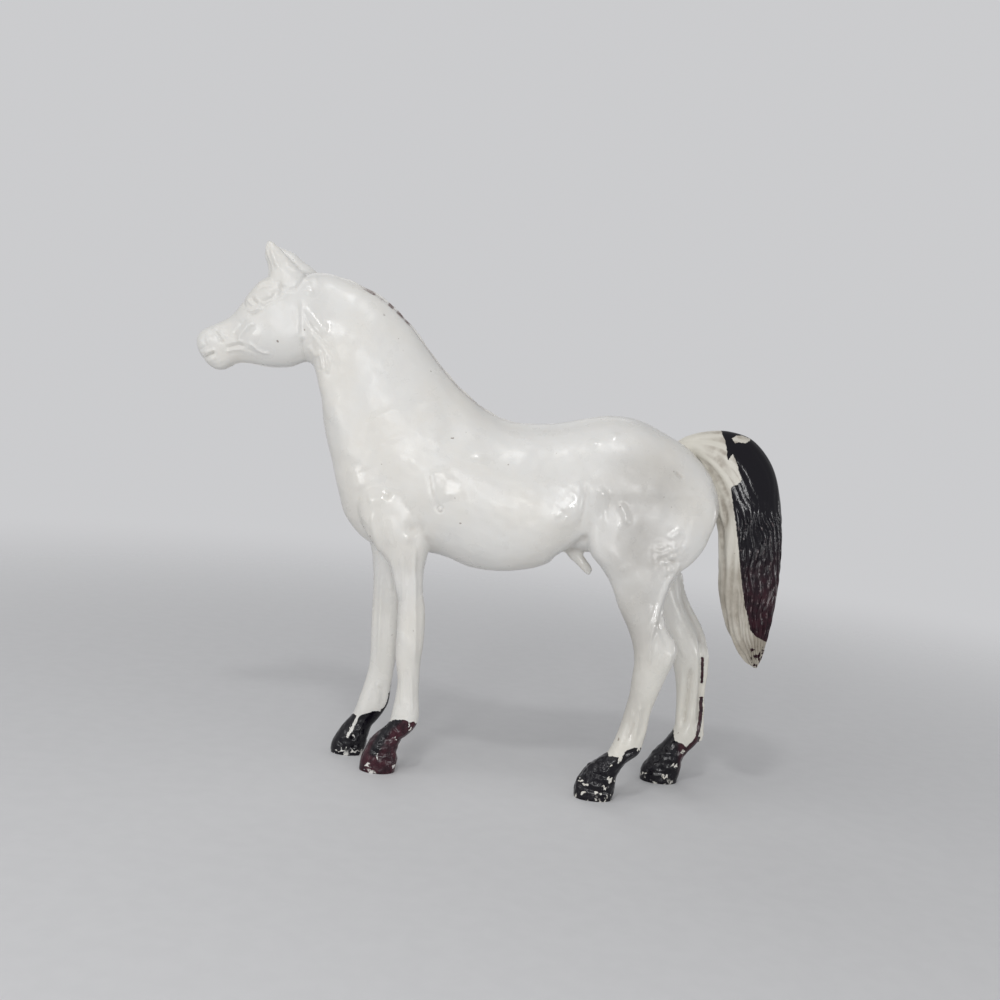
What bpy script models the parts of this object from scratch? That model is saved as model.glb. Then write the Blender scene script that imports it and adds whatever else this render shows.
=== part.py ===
"""Toy farm horse: two hollow plastic half shells glued on the middle plane, and a plugged-in tail.

Units are metres and +Z is up. The horse stands on z = 0, faces -X, and its left side is at -Y.
Each body form is a loft: a table gives the upper and the lower end of every cross section as shares of
the sizes named beside it, and the section's width.
"""

import math

import bpy
import bmesh
from mathutils import Vector

# Trunk
BELLY_HEIGHT = 0.0420
TRUNK_LENGTH = 0.0760
TRUNK_DEPTH = 0.0330
TRUNK_WIDTH = 0.0222

# Neck
NECK_REACH = 0.0164
NECK_RISE = 0.0214
NECK_WIDTH = 0.0150

# Head
HEAD_LENGTH = 0.0232
HEAD_DEPTH = 0.0208
HEAD_WIDTH = 0.0098
EAR_LENGTH = 0.0058
EAR_DEPTH = 0.0074
EAR_THICKNESS = 0.0028
EAR_SPREAD = 0.0027

# Legs
FORE_LEG_DEPTH = 0.0130
FORE_LEG_THICKNESS = 0.0052
FORE_LEG_SPREAD = 0.0050
FORE_STRIDE = 0.0071
HIND_LEG_DEPTH = 0.0240
HIND_LEG_THICKNESS = 0.0052
HIND_LEG_SPREAD = 0.0080
HIND_STRIDE = 0.0148
FORE_TOE_REACH = 0.0099
HIND_TOE_REACH = 0.0212
HOOF_LENGTH = 0.0070
HOOF_WIDTH = 0.0056
HOOF_HEIGHT = 0.0054

# Sheath
SHEATH_LENGTH = 0.0050
SHEATH_DEPTH = 0.0034
SHEATH_WIDTH = 0.0030

# Tail
TAIL_REACH = 0.0223
TAIL_DROP = 0.0470
TAIL_WIDTH = 0.0070

# Shell and joints between the pieces
WALL = 0.0016
SEAM_GAP = 0.0003
TAIL_GAP = 0.0004
PIN_RADIUS = 0.0008
PIN_LENGTH = 0.0024
PIN_CLEARANCE = 0.0003
BOSS_WALL = 0.0009
SPIGOT_RADIUS = 0.0011
SPIGOT_LENGTH = 0.0056
COLLAR_RADIUS = 0.0018
COLLAR_THICKNESS = 0.0010
SPIGOT_CLEARANCE = 0.0003
OVERRUN = 0.0020

# Counts
BODY_SIDES = 16
LEG_SIDES = 8
TAIL_SIDES = 10
CAVITY_SIDES = 8
SMALL_SIDES = 6
ROUND_SIDES = 12
SMOOTH_LEVEL = 1
PIN_SECTIONS = (4, 8, 11)
SOLID_BUTTOCK_SECTIONS_COUNT = 2
SOLID_HEAD_SECTIONS_COUNT = 8

# Cross sections of the trunk, from the buttock forward:
# upper end and lower end (forward share of TRUNK_LENGTH, share of TRUNK_DEPTH above the belly),
# share of the half width, and where the section is widest, as a share of its height
TRUNK_SHARES = (
    ((0.004, 0.55), (0.004, 0.38), 0.22, 0.50),
    ((0.025, 0.67), (0.025, 0.27), 0.56, 0.50),
    ((0.066, 0.79), (0.066, 0.18), 0.76, 0.50),
    ((0.113, 0.88), (0.113, 0.13), 0.87, 0.52),
    ((0.180, 0.95), (0.180, 0.12), 0.95, 0.54),
    ((0.270, 1.00), (0.270, 0.15), 0.96, 0.54),
    ((0.360, 0.97), (0.360, 0.17), 0.94, 0.50),
    ((0.455, 0.91), (0.455, 0.05), 0.98, 0.44),
    ((0.550, 0.90), (0.550, 0.00), 1.00, 0.42),
    ((0.633, 0.95), (0.640, 0.00), 0.99, 0.42),
    ((0.700, 1.05), (0.745, 0.05), 0.93, 0.42),
    ((0.760, 1.18), (0.860, 0.06), 0.85, 0.42),
    ((0.810, 1.31), (0.945, 0.16), 0.76, 0.42),
)

# Cross sections of the neck, from the breast up: shares of NECK_REACH forward and NECK_RISE up
NECK_SHARES = (
    ((-0.09, 1.08), (0.55, -0.50), 0.92, 0.42),
    ((0.17, 1.23), (0.67, -0.17), 0.76, 0.42),
    ((0.44, 1.33), (0.78, 0.11), 0.65, 0.42),
    ((0.73, 1.40), (0.87, 0.38), 0.59, 0.44),
    ((1.02, 1.42), (0.98, 0.59), 0.56, 0.46),
)

# Cross sections of the head, from the cheek to the lips: shares of HEAD_LENGTH forward and HEAD_DEPTH up
HEAD_SHARES = (
    ((0.20, 0.42), (0.11, -0.44), 0.92, 0.50),
    ((0.38, 0.39), (0.26, -0.48), 1.00, 0.56),
    ((0.51, 0.26), (0.40, -0.49), 0.94, 0.60),
    ((0.61, 0.14), (0.52, -0.49), 0.80, 0.58),
    ((0.69, -0.01), (0.62, -0.49), 0.63, 0.52),
    ((0.80, -0.11), (0.71, -0.54), 0.55, 0.48),
    ((0.89, -0.18), (0.80, -0.57), 0.53, 0.48),
    ((0.965, -0.24), (0.885, -0.53), 0.47, 0.50),
    ((1.00, -0.32), (0.955, -0.46), 0.30, 0.50),
)

# Cross sections of a fore leg, from the shoulder down to the coronet: front and rear edge
# (share of FORE_LEG_DEPTH forward of the elbow, share of BELLY_HEIGHT up), share of FORE_LEG_SPREAD
# sideways, share of the half thickness, and how much of the stride the section takes
FORE_LEG_SHARES = (
    ((1.00, 1.43), (0.00, 1.43), 1.04, 1.30, 0.0),
    ((1.19, 1.27), (0.02, 1.26), 1.10, 1.50, 0.1),
    ((1.04, 1.13), (0.03, 1.12), 1.10, 1.46, 0.3),
    ((0.73, 1.02), (0.06, 1.03), 1.04, 1.23, 0.6),
    ((0.53, 0.93), (0.09, 0.94), 1.02, 1.08, 0.8),
    ((0.46, 0.82), (0.02, 0.81), 1.00, 1.00, 0.9),
    ((0.42, 0.68), (0.00, 0.68), 1.00, 0.94, 0.95),
    ((0.39, 0.54), (0.00, 0.54), 1.00, 0.88, 1.0),
    ((0.33, 0.43), (0.00, 0.42), 1.00, 0.73, 1.0),
    ((0.34, 0.34), (-0.03, 0.33), 1.00, 0.77, 1.0),
    ((0.37, 0.25), (-0.06, 0.26), 1.00, 0.90, 1.0),
    ((0.49, 0.20), (0.09, 0.18), 1.00, 0.85, 1.0),
)

# Cross sections of a hind leg, from the croup down to the coronet: shares as for the fore leg,
# measured forward of the buttock
HIND_LEG_SHARES = (
    ((0.87, 1.55), (0.15, 1.55), 0.68, 1.62, 0.0),
    ((0.97, 1.38), (-0.02, 1.39), 0.74, 1.88, 0.0),
    ((1.02, 1.24), (0.00, 1.26), 0.81, 1.77, 0.03),
    ((0.97, 1.14), (0.09, 1.14), 0.88, 1.62, 0.10),
    ((0.85, 1.06), (0.21, 1.08), 0.92, 1.42, 0.22),
    ((0.75, 0.98), (0.30, 0.99), 0.95, 1.23, 0.38),
    ((0.67, 0.88), (0.33, 0.89), 0.98, 1.04, 0.52),
    ((0.57, 0.79), (0.26, 0.80), 1.00, 0.96, 0.62),
    ((0.52, 0.69), (0.19, 0.72), 1.00, 1.00, 0.70),
    ((0.52, 0.60), (0.22, 0.62), 1.00, 0.90, 0.76),
    ((0.52, 0.50), (0.29, 0.51), 1.00, 0.77, 0.82),
    ((0.55, 0.39), (0.35, 0.40), 1.00, 0.73, 0.87),
    ((0.59, 0.31), (0.37, 0.30), 1.00, 0.81, 0.91),
    ((0.63, 0.23), (0.40, 0.24), 1.00, 0.88, 0.95),
    ((0.73, 0.19), (0.52, 0.17), 1.00, 0.85, 0.97),
)

# Cross sections of the hoof, from the coronet down past the floor: front and rear edge
# (share of HOOF_LENGTH back from the toe, share of HOOF_HEIGHT up), and share of the half width
HOOF_SHARES = (
    ((0.30, 1.12), (1.12, 0.95), 0.86),
    ((0.16, 0.65), (1.06, 0.55), 0.93),
    ((0.03, 0.12), (1.00, 0.10), 1.00),
    ((0.03, -0.30), (1.00, -0.30), 1.00),
)

# Cross sections of the tail, from inside the dock to the tip: front and rear edge
# (share of TAIL_REACH back, share of TAIL_DROP down), and share of the half width
TAIL_SHARES = (
    ((0.00, 0.07), (-0.16, 0.00), 0.37),
    ((0.08, 0.02), (-0.03, -0.05), 0.49),
    ((0.17, 0.06), (0.15, -0.08), 0.63),
    ((0.26, 0.12), (0.36, -0.09), 0.77),
    ((0.33, 0.20), (0.58, -0.06), 0.89),
    ((0.36, 0.29), (0.77, 0.04), 0.96),
    ((0.38, 0.38), (0.88, 0.19), 1.00),
    ((0.40, 0.50), (0.94, 0.37), 0.97),
    ((0.45, 0.62), (0.95, 0.55), 0.89),
    ((0.53, 0.74), (0.93, 0.70), 0.74),
    ((0.64, 0.81), (0.90, 0.80), 0.54),
    ((0.75, 0.88), (0.87, 0.87), 0.28),
    ((0.79, 0.92), (0.84, 0.92), 0.10),
)

# Cross sections of an ear, from inside the poll to the tip: front and rear edge
# (share of EAR_DEPTH back, share of EAR_LENGTH up), and share of the half thickness
EAR_SHARES = (
    ((0.10, -0.35), (1.00, -0.35), 1.00),
    ((0.12, 0.15), (0.95, 0.10), 1.00),
    ((0.13, 0.45), (0.68, 0.42), 0.80),
    ((0.06, 0.80), (0.38, 0.75), 0.50),
    ((0.00, 1.00), (0.16, 0.97), 0.22),
)

# Cross sections of the sheath, from inside the belly to its end: upper and lower edge
# (share of SHEATH_LENGTH back, share of SHEATH_DEPTH up), and share of the half width
SHEATH_SHARES = (
    ((-0.30, 1.30), (-0.30, 0.20), 1.00),
    ((0.25, 0.90), (0.10, -0.10), 1.00),
    ((0.65, 0.30), (0.50, -0.70), 0.90),
    ((1.00, -0.50), (0.85, -1.10), 0.50),
)

# Places on the figure: (forward share of TRUNK_LENGTH, share of TRUNK_DEPTH up) or shares of the head
DOCK_SHARES = (0.092, 0.845)
SHEATH_PLACE_SHARES = (0.370, 0.125)
EAR_PLACE_SHARES = (0.44, 0.40)
FORE_LEG_PLACE_SHARE = 0.735
HIND_LEG_PLACE_SHARE = 0.020
DOCK_SLOPE = math.radians(52.0)

WHITE_PLASTIC = (0.72, 0.71, 0.68, 1.0)
DARK_PAINT = (0.030, 0.018, 0.022, 1.0)


def clear_scene():
    """Removes whatever the scene holds."""
    for item in list(bpy.data.objects):
        bpy.data.objects.remove(item, do_unlink=True)


def new_collection(name):
    collection = bpy.data.collections.new(name)
    bpy.context.scene.collection.children.link(collection)
    return collection


def new_material(name, colour, roughness):
    material = bpy.data.materials.new(name)
    material.use_nodes = True
    shader = material.node_tree.nodes["Principled BSDF"]
    shader.inputs["Base Color"].default_value = colour
    shader.inputs["Roughness"].default_value = roughness
    shader.inputs["Metallic"].default_value = 0.0
    material.diffuse_color = colour
    return material


def cage_share(sides):
    """How far a cage ring stands outside its outline, so that one subdivision lands on it."""
    return 4.0 / (3.0 + math.cos(2.0 * math.pi / sides))


def section(upper, lower, half_width, sides, centre_y=0.0, widest_share=0.5):
    """One cross section: an oval between two points of the side view, widest at the share given."""
    spread = cage_share(sides)
    middle = (upper + lower) / 2.0
    reach = (upper - lower) / 2.0
    skew = 2.0 * widest_share - 1.0
    points = []
    for step in range(sides):
        angle = 2.0 * math.pi * step / sides
        along = math.cos(angle)
        across = math.sin(angle)
        place = along + skew * across * across
        point = middle + reach * place * spread
        points.append(Vector((point.x, centre_y + half_width * across * spread, point.z)))
    return points


def loft(name, sections, collection):
    """A closed body through the cross sections, capped at both ends, with subdivision."""
    mesh = bpy.data.meshes.new(name)
    net = bmesh.new()
    rings = [[net.verts.new(point) for point in points] for points in sections]
    count = len(rings[0])
    for ring, following in zip(rings, rings[1:]):
        for step in range(count):
            after = (step + 1) % count
            net.faces.new((ring[step], ring[after], following[after], following[step]))
    net.faces.new(rings[0][::-1])
    net.faces.new(rings[-1])
    bmesh.ops.recalc_face_normals(net, faces=net.faces)
    net.to_mesh(mesh)
    net.free()
    mesh.shade_smooth()
    body = bpy.data.objects.new(name, mesh)
    collection.objects.link(body)
    smooth = body.modifiers.new("smooth", "SUBSURF")
    smooth.levels = SMOOTH_LEVEL
    smooth.render_levels = SMOOTH_LEVEL
    return body


def side_point(origin, x, z):
    return Vector((origin[0] + x, 0.0, origin[1] + z))


def trunk_point(forward_share, up_share):
    """A point of the middle plane, as (x, z), measured from the buttock and the belly."""
    return (-forward_share * TRUNK_LENGTH, BELLY_HEIGHT + up_share * TRUNK_DEPTH)


def last_middle(table, origin, reach, rise):
    """The middle of a table's last cross section, where the next form starts."""
    upper, lower = table[-1][0], table[-1][1]
    return (
        origin[0] - (upper[0] + lower[0]) / 2.0 * reach,
        origin[1] + (upper[1] + lower[1]) / 2.0 * rise,
    )


def neck_root():
    return last_middle(TRUNK_SHARES, (0.0, BELLY_HEIGHT), TRUNK_LENGTH, TRUNK_DEPTH)


def head_root():
    return last_middle(NECK_SHARES, neck_root(), NECK_REACH, NECK_RISE)


def body_outline():
    """Upper end, lower end, half width and widest share of each section, from the buttock to the lips."""
    forms = (
        (TRUNK_SHARES, (0.0, BELLY_HEIGHT), TRUNK_LENGTH, TRUNK_DEPTH, TRUNK_WIDTH),
        (NECK_SHARES, neck_root(), NECK_REACH, NECK_RISE, NECK_WIDTH),
        (HEAD_SHARES, head_root(), HEAD_LENGTH, HEAD_DEPTH, HEAD_WIDTH),
    )
    outline = []
    for table, origin, reach, rise, width in forms:
        for upper, lower, width_share, widest_share in table:
            outline.append((
                side_point(origin, -upper[0] * reach, upper[1] * rise),
                side_point(origin, -lower[0] * reach, lower[1] * rise),
                width_share * width / 2.0,
                widest_share,
            ))
    return outline


def body_sections(growth):
    """The body's cross sections, grown outwards all round, or drawn in where growth is negative."""
    sections = []
    outline = body_outline()
    for number, (upper, lower, half_width, widest_share) in enumerate(outline):
        outward = (upper - lower).normalized() * growth
        lengthwise = Vector((0.0, 0.0, 0.0))
        if number == 0:
            lengthwise.x = growth
        if number == len(outline) - 1:
            lengthwise.x = -growth
        sections.append(section(
            upper + outward + lengthwise, lower - outward + lengthwise,
            half_width + growth, BODY_SIDES, widest_share=widest_share,
        ))
    return sections


def cavity_sections():
    """The hollow inside trunk, neck and cheek: the body's sections drawn in by the wall."""
    sections = []
    outline = body_outline()[SOLID_BUTTOCK_SECTIONS_COUNT:-SOLID_HEAD_SECTIONS_COUNT]
    for upper, lower, half_width, widest_share in outline:
        inward = (upper - lower).normalized() * WALL
        sections.append(section(
            upper - inward, lower + inward, half_width - WALL, CAVITY_SIDES, widest_share=widest_share,
        ))
    return sections


def leg_sections(table, origin_x, depth, thickness, spread, toe_x, stride):
    """A leg from inside the trunk down to below the floor; stride moves its lower part lengthwise."""
    sections = []
    for front, rear, spread_share, thickness_share, stride_share in table:
        moved_x = origin_x + stride * stride_share
        sections.append(section(
            side_point((moved_x, 0.0), -front[0] * depth, front[1] * BELLY_HEIGHT),
            side_point((moved_x, 0.0), -rear[0] * depth, rear[1] * BELLY_HEIGHT),
            thickness_share * thickness / 2.0, LEG_SIDES, centre_y=spread * spread_share,
        ))
    for front, rear, width_share in HOOF_SHARES:
        sections.append(section(
            side_point((toe_x + stride, 0.0), front[0] * HOOF_LENGTH, front[1] * HOOF_HEIGHT),
            side_point((toe_x + stride, 0.0), rear[0] * HOOF_LENGTH, rear[1] * HOOF_HEIGHT),
            width_share * HOOF_WIDTH / 2.0, LEG_SIDES, centre_y=spread,
        ))
    return sections


def fore_leg(name, side, stride, collection):
    origin_x = -FORE_LEG_PLACE_SHARE * TRUNK_LENGTH
    return loft(name, leg_sections(
        FORE_LEG_SHARES, origin_x, FORE_LEG_DEPTH, FORE_LEG_THICKNESS,
        side * FORE_LEG_SPREAD, origin_x - FORE_TOE_REACH, stride,
    ), collection)


def hind_leg(name, side, stride, collection):
    origin_x = -HIND_LEG_PLACE_SHARE * TRUNK_LENGTH
    return loft(name, leg_sections(
        HIND_LEG_SHARES, origin_x, HIND_LEG_DEPTH, HIND_LEG_THICKNESS,
        side * HIND_LEG_SPREAD, origin_x - HIND_TOE_REACH, stride,
    ), collection)


def ear(name, side, collection):
    root = head_root()
    origin = (root[0] - EAR_PLACE_SHARES[0] * HEAD_LENGTH, root[1] + EAR_PLACE_SHARES[1] * HEAD_DEPTH)
    return loft(name, [
        section(
            side_point(origin, front[0] * EAR_DEPTH, front[1] * EAR_LENGTH),
            side_point(origin, rear[0] * EAR_DEPTH, rear[1] * EAR_LENGTH),
            thickness_share * EAR_THICKNESS / 2.0, SMALL_SIDES, centre_y=side * EAR_SPREAD,
        )
        for front, rear, thickness_share in EAR_SHARES
    ], collection)


def sheath(name, collection):
    origin = trunk_point(*SHEATH_PLACE_SHARES)
    return loft(name, [
        section(
            side_point(origin, upper[0] * SHEATH_LENGTH, upper[1] * SHEATH_DEPTH),
            side_point(origin, lower[0] * SHEATH_LENGTH, lower[1] * SHEATH_DEPTH),
            width_share * SHEATH_WIDTH / 2.0, SMALL_SIDES,
        )
        for upper, lower, width_share in SHEATH_SHARES
    ], collection)


def tail_form(name, collection):
    origin = trunk_point(*DOCK_SHARES)
    return loft(name, [
        section(
            side_point(origin, front[0] * TAIL_REACH, -front[1] * TAIL_DROP),
            side_point(origin, rear[0] * TAIL_REACH, -rear[1] * TAIL_DROP),
            width_share * TAIL_WIDTH / 2.0, TAIL_SIDES,
        )
        for front, rear, width_share in TAIL_SHARES
    ], collection)


def rod(name, radius, start, end, collection):
    """A round rod between two points, as a closed mesh."""
    axis = end - start
    mesh = bpy.data.meshes.new(name)
    net = bmesh.new()
    bmesh.ops.create_cone(
        net, cap_ends=True, segments=ROUND_SIDES, radius1=radius, radius2=radius, depth=axis.length,
    )
    net.to_mesh(mesh)
    net.free()
    mesh.shade_smooth()
    mesh.set_sharp_from_angle(angle=math.radians(40.0))
    item = bpy.data.objects.new(name, mesh)
    item.rotation_mode = "QUATERNION"
    item.rotation_quaternion = axis.to_track_quat("Z", "Y")
    item.location = (start + end) / 2.0
    collection.objects.link(item)
    return item


def block(name, low, high, collection):
    """A box between two corners, used as a cutter."""
    mesh = bpy.data.meshes.new(name)
    net = bmesh.new()
    bmesh.ops.create_cube(net, size=1.0)
    size = high - low
    for vertex in net.verts:
        vertex.co = Vector([(low[i] + high[i]) / 2.0 + vertex.co[i] * size[i] for i in range(3)])
    net.to_mesh(mesh)
    net.free()
    item = bpy.data.objects.new(name, mesh)
    collection.objects.link(item)
    return item


def join(body, other):
    change = body.modifiers.new("join " + other.name, "BOOLEAN")
    change.operation = "UNION"
    change.solver = "EXACT"
    change.object = other


def cut(body, cutter):
    change = body.modifiers.new("cut " + cutter.name, "BOOLEAN")
    change.operation = "DIFFERENCE"
    change.solver = "EXACT"
    change.object = cutter


def hide_cutters(collection):
    for item in collection.objects:
        item.hide_render = True
        item.display_type = "WIRE"


def cutter_reach():
    """A distance that takes a cutter past the figure on every side."""
    lengthwise = TRUNK_LENGTH + NECK_REACH + HEAD_LENGTH + TAIL_REACH
    return lengthwise + BELLY_HEIGHT + TRUNK_DEPTH + NECK_RISE + HEAD_DEPTH + EAR_LENGTH


def half_space(name, side, collection):
    """Everything beyond the seam as seen from one half: side is -1 for the left half, 1 for the right."""
    reach = cutter_reach()
    near = side * SEAM_GAP / 2.0
    low = Vector((-reach, min(near, -side * reach), -reach))
    high = Vector((reach, max(near, -side * reach), reach))
    return block(name, low, high, collection)


def floor_cutter(collection):
    reach = cutter_reach()
    return block("floor", Vector((-reach, -reach, -reach)), Vector((reach, reach, 0.0)), collection)


def spigot_points(*depths):
    """Points on the spigot's axis, each at a depth inside the rump; a negative depth lies outside."""
    origin = trunk_point(*DOCK_SHARES)
    surface = Vector((origin[0], 0.0, origin[1]))
    inward = Vector((-math.cos(DOCK_SLOPE), 0.0, -math.sin(DOCK_SLOPE)))
    return [surface + inward * depth for depth in depths]


def pin_places():
    """Middle point and half width of the trunk sections that carry a locating pin."""
    outline = body_outline()
    return [((outline[n][0] + outline[n][1]) / 2.0, outline[n][2]) for n in PIN_SECTIONS]


def add_bosses(body, side, collection):
    """Bosses from the wall to the seam: with a pin on the left half, with a socket in the right half."""
    boss_radius = PIN_RADIUS + PIN_CLEARANCE + BOSS_WALL
    seam = side * SEAM_GAP / 2.0
    for number, (middle, half_width) in enumerate(pin_places(), start=1):
        foot = side * (half_width - WALL / 2.0)
        half_name = "left" if side < 0.0 else "right"
        boss = rod(
            f"{half_name}_boss_{number}", boss_radius,
            middle + Vector((0.0, foot, 0.0)), middle + Vector((0.0, seam, 0.0)), collection,
        )
        join(body, boss)
        if side < 0.0:
            join(body, rod(
                f"pin_{number}", PIN_RADIUS,
                middle + Vector((0.0, foot / 2.0, 0.0)), middle + Vector((0.0, PIN_LENGTH, 0.0)), collection,
            ))
        else:
            cut(body, rod(
                f"socket_{number}", PIN_RADIUS + PIN_CLEARANCE,
                middle + Vector((0.0, -OVERRUN, 0.0)),
                middle + Vector((0.0, PIN_LENGTH + PIN_CLEARANCE, 0.0)), collection,
            ))


def body_half(name, side, forms, shared, parts, cutters, material):
    """One half shell: cut at the seam, with its legs, ear and half of the sheath joined on, and hollowed."""
    half = loft(name, body_sections(0.0), parts)
    half.data.materials.append(material)
    beyond_seam = half_space(name + "_beyond_seam", side, cutters)
    half_sheath = sheath(name + "_sheath_form", cutters)
    cut(half, beyond_seam)
    cut(half_sheath, beyond_seam)
    for form in forms + (half_sheath,):
        join(half, form)
    cut(half, shared["floor"])
    cut(half, shared["cavity"])
    add_bosses(half, side, cutters)
    cut(half, shared["dock"])
    return half


def build_tail(parts, cutters, material):
    """The tail, seated on the rump with a gap, and its spigot with the collar behind the wall."""
    tail = tail_form("tail", parts)
    tail.data.materials.append(material)
    cut(tail, loft("rump_with_gap", body_sections(TAIL_GAP), cutters))
    root, foot = spigot_points(-SPIGOT_LENGTH / 3.0, SPIGOT_LENGTH)
    join(tail, rod("spigot", SPIGOT_RADIUS, root, foot, cutters))
    collar_start, collar_end = spigot_points(SPIGOT_LENGTH - COLLAR_THICKNESS, SPIGOT_LENGTH)
    join(tail, rod("collar", COLLAR_RADIUS, collar_start, collar_end, cutters))
    return tail


def stand_on_origin(items):
    """Parents the pieces to an empty that puts the middle of the figure's box over the origin."""
    bpy.context.view_layer.update()
    graph = bpy.context.evaluated_depsgraph_get()
    corners = []
    for item in items:
        seen = item.evaluated_get(graph)
        corners += [seen.matrix_world @ vertex.co for vertex in seen.data.vertices]
    figure = bpy.data.objects.new("toy_horse", None)
    items[0].users_collection[0].objects.link(figure)
    middles = [(min(c[i] for c in corners) + max(c[i] for c in corners)) / 2.0 for i in range(2)]
    return figure, Vector((-middles[0], -middles[1], 0.0))


def main():
    clear_scene()
    parts = new_collection("toy_horse")
    cutters = new_collection("toy_horse_cutters")
    white = new_material("white_plastic", WHITE_PLASTIC, 0.25)
    dark = new_material("tail_paint", DARK_PAINT, 0.35)

    hole_start, hole_end = spigot_points(-OVERRUN, SPIGOT_LENGTH)
    shared = {
        "cavity": loft("cavity", cavity_sections(), cutters),
        "floor": floor_cutter(cutters),
        "dock": rod("dock_hole", SPIGOT_RADIUS + SPIGOT_CLEARANCE, hole_start, hole_end, cutters),
    }
    left_forms = (
        fore_leg("left_fore_leg_form", -1.0, 0.0, cutters),
        hind_leg("left_hind_leg_form", -1.0, 0.0, cutters),
        ear("left_ear_form", -1.0, cutters),
    )
    right_forms = (
        fore_leg("right_fore_leg_form", 1.0, -FORE_STRIDE, cutters),
        hind_leg("right_hind_leg_form", 1.0, HIND_STRIDE, cutters),
        ear("right_ear_form", 1.0, cutters),
    )
    pieces = [
        body_half("left_body_half", -1.0, left_forms, shared, parts, cutters, white),
        body_half("right_body_half", 1.0, right_forms, shared, parts, cutters, white),
        build_tail(parts, cutters, dark),
    ]
    hide_cutters(cutters)

    figure, shift = stand_on_origin(pieces)
    for item in list(parts.objects) + list(cutters.objects):
        if item is not figure:
            item.parent = figure
    figure.location = shift


main()
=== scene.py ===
import math

import bmesh
import bpy
import numpy as np
from mathutils import Matrix, Vector


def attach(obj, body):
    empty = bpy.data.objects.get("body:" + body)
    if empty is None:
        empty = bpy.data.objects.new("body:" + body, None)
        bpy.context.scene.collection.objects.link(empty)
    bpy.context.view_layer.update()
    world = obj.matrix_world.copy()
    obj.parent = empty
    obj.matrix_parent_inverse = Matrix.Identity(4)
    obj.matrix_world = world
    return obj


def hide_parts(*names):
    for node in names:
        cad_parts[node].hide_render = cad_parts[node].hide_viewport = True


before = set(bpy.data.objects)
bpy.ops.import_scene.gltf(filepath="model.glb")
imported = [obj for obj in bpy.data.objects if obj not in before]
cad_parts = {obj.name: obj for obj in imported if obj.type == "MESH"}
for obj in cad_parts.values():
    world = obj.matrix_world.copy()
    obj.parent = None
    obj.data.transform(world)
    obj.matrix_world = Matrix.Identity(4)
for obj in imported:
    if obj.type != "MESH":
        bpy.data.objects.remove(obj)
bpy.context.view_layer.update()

# The looks of the toy horse. Shapes are worked in millimetres in the frame's own place and turned into
# metres at the end: +Z is up, the horse faces -X, its left side is at -Y. Features are placed by the
# photograph's pixels, seen through the scene's own camera.
MM = 0.001
PX = 0.2
LEFT = -1.0
RIGHT = 1.0
BOTH = 0.0

# Camera: place it looks at, distance, tilt down, roll, focal length in pixels of the photograph's frame
AIM = (2.7, 0.0, 55.85)
CAMERA_DISTANCE = 240.0
CAMERA_RISE = math.radians(4.4)
CAMERA_ROLL = math.radians(6.0)
FOCAL_PX = 1200.0
FRAME_PX = 1000.0
SENSOR_WIDTH = 36.0
CLIP_METRES = (0.01, 20.0)

# Fineness of the clay that the body is carved from
VOXEL = 0.34
HEAD_FINE_X = -36.0
THROAT_FINE = (-30.5, 72.0)
HOOF_FINE_Z = 11.0
GATE_MARK = (-8.5, -10.5, 53.7)
GATE_FINE = 1.5
RING_SIDES = 64
RINGS_PER_STEP = 6
LIMB_BOXINESS = 0.95
MID_LEVEL = 0.5
THINNEST = 0.05
# Rounds of smoothing: of the joined forms, of the refined skin, and of the normals
ROUGH_ROUNDS = 14
FINE_ROUNDS = 4
NORMAL_ROUNDS = 4
# Share of the way to its neighbours' mean that a vertex moves in a round, and the share it is pushed back
DRAW_IN = 0.5
PUSH_BACK = 0.52
# Half the band across the seam in which a form of one side fades out, and the share of a stroke's length in
# which it fades out at either end
SEAM_BLEND = 0.3
STROKE_FADE = 0.22
# Depth in mm of what lies far outside a painted place
FAR_OUTSIDE = -20.0

# Relief of the body. Two numbers in brackets are a height or depth and a width in mm, or the two values
# between which a form rises from nothing to its full strength.
CLEFT = (1.7, 1.5)
CLEFT_BEHIND_X = (40.0, 45.0)
CLEFT_BELOW_Z = (70.0, 64.0)
BREAST_GROOVE = (0.7, 1.3)
BREAST_BEFORE_X = (-20.0, -26.0)
BREAST_Z = ((62.0, 52.0), (42.0, 47.0))
GATE_BUTTON = (0.12, 0.36)
GATE_RING = (0.16, 0.17)
GATE_RING_RADIUS = 0.62
SWELL_HEIGHT = 0.050
GRAIN_HEIGHT = 0.016
CALM_HEAD_X = (-36.0, -42.0)
CALM_HEAD = 0.6
CALM_LEGS_Z = (40.0, 30.0)
CALM_LEGS = 0.5
SOLE_REACH = 0.14

# Wear and painted shade: rounds that find the mean skin, how far hollows sink below it, how far ridges stand
# above it, and the edges of polished places and of places darkened as painted shade, as shares of their radii
WEAR_ROUNDS = 8
HOLLOW = (0.02, 0.16)
RUBBED_RIDGE = (-0.02, -0.10)
RIDGE_GLOSS = 0.8
POLISHED_EDGE = (1.5, 0.3)
SHADED_PLACE_EDGE = (1.3, 0.3)

# Mane: its reach down the neck and how much more it is in the middle, its ragged edge, its two ends as
# shares of the crest, its edges, its thickness and its strands
MANE_REACH = 8.6
MANE_BULGE = 1.6
MANE_RAGGED = 0.7
MANE_ENDS = ((0.0, 0.32), (1.02, 0.66))
MANE_EDGE = (0.0, 0.7)
MANE_TOP_Y = (0.7, 2.2)
MANE_PAINT_Y = 1.6
MANE_THICKNESS = 0.42
MANE_STRANDS = 34.0
MANE_STRAND_HEIGHT = 0.16
MANE_STRAND_LEAN = 0.05
MANE_STRAND_WANDER = 0.30
MANE_OFF_DEPTH = 0.05
# How the patterns of mane and seam stretch along the crest, taken as one, and across it in mm
MANE_EDGE_STRETCH = (30.0, 0.15)
MANE_STRAND_STRETCH = (40.0, 1.0)
TRACE_STRETCH = (50.0, 1.0)

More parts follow.
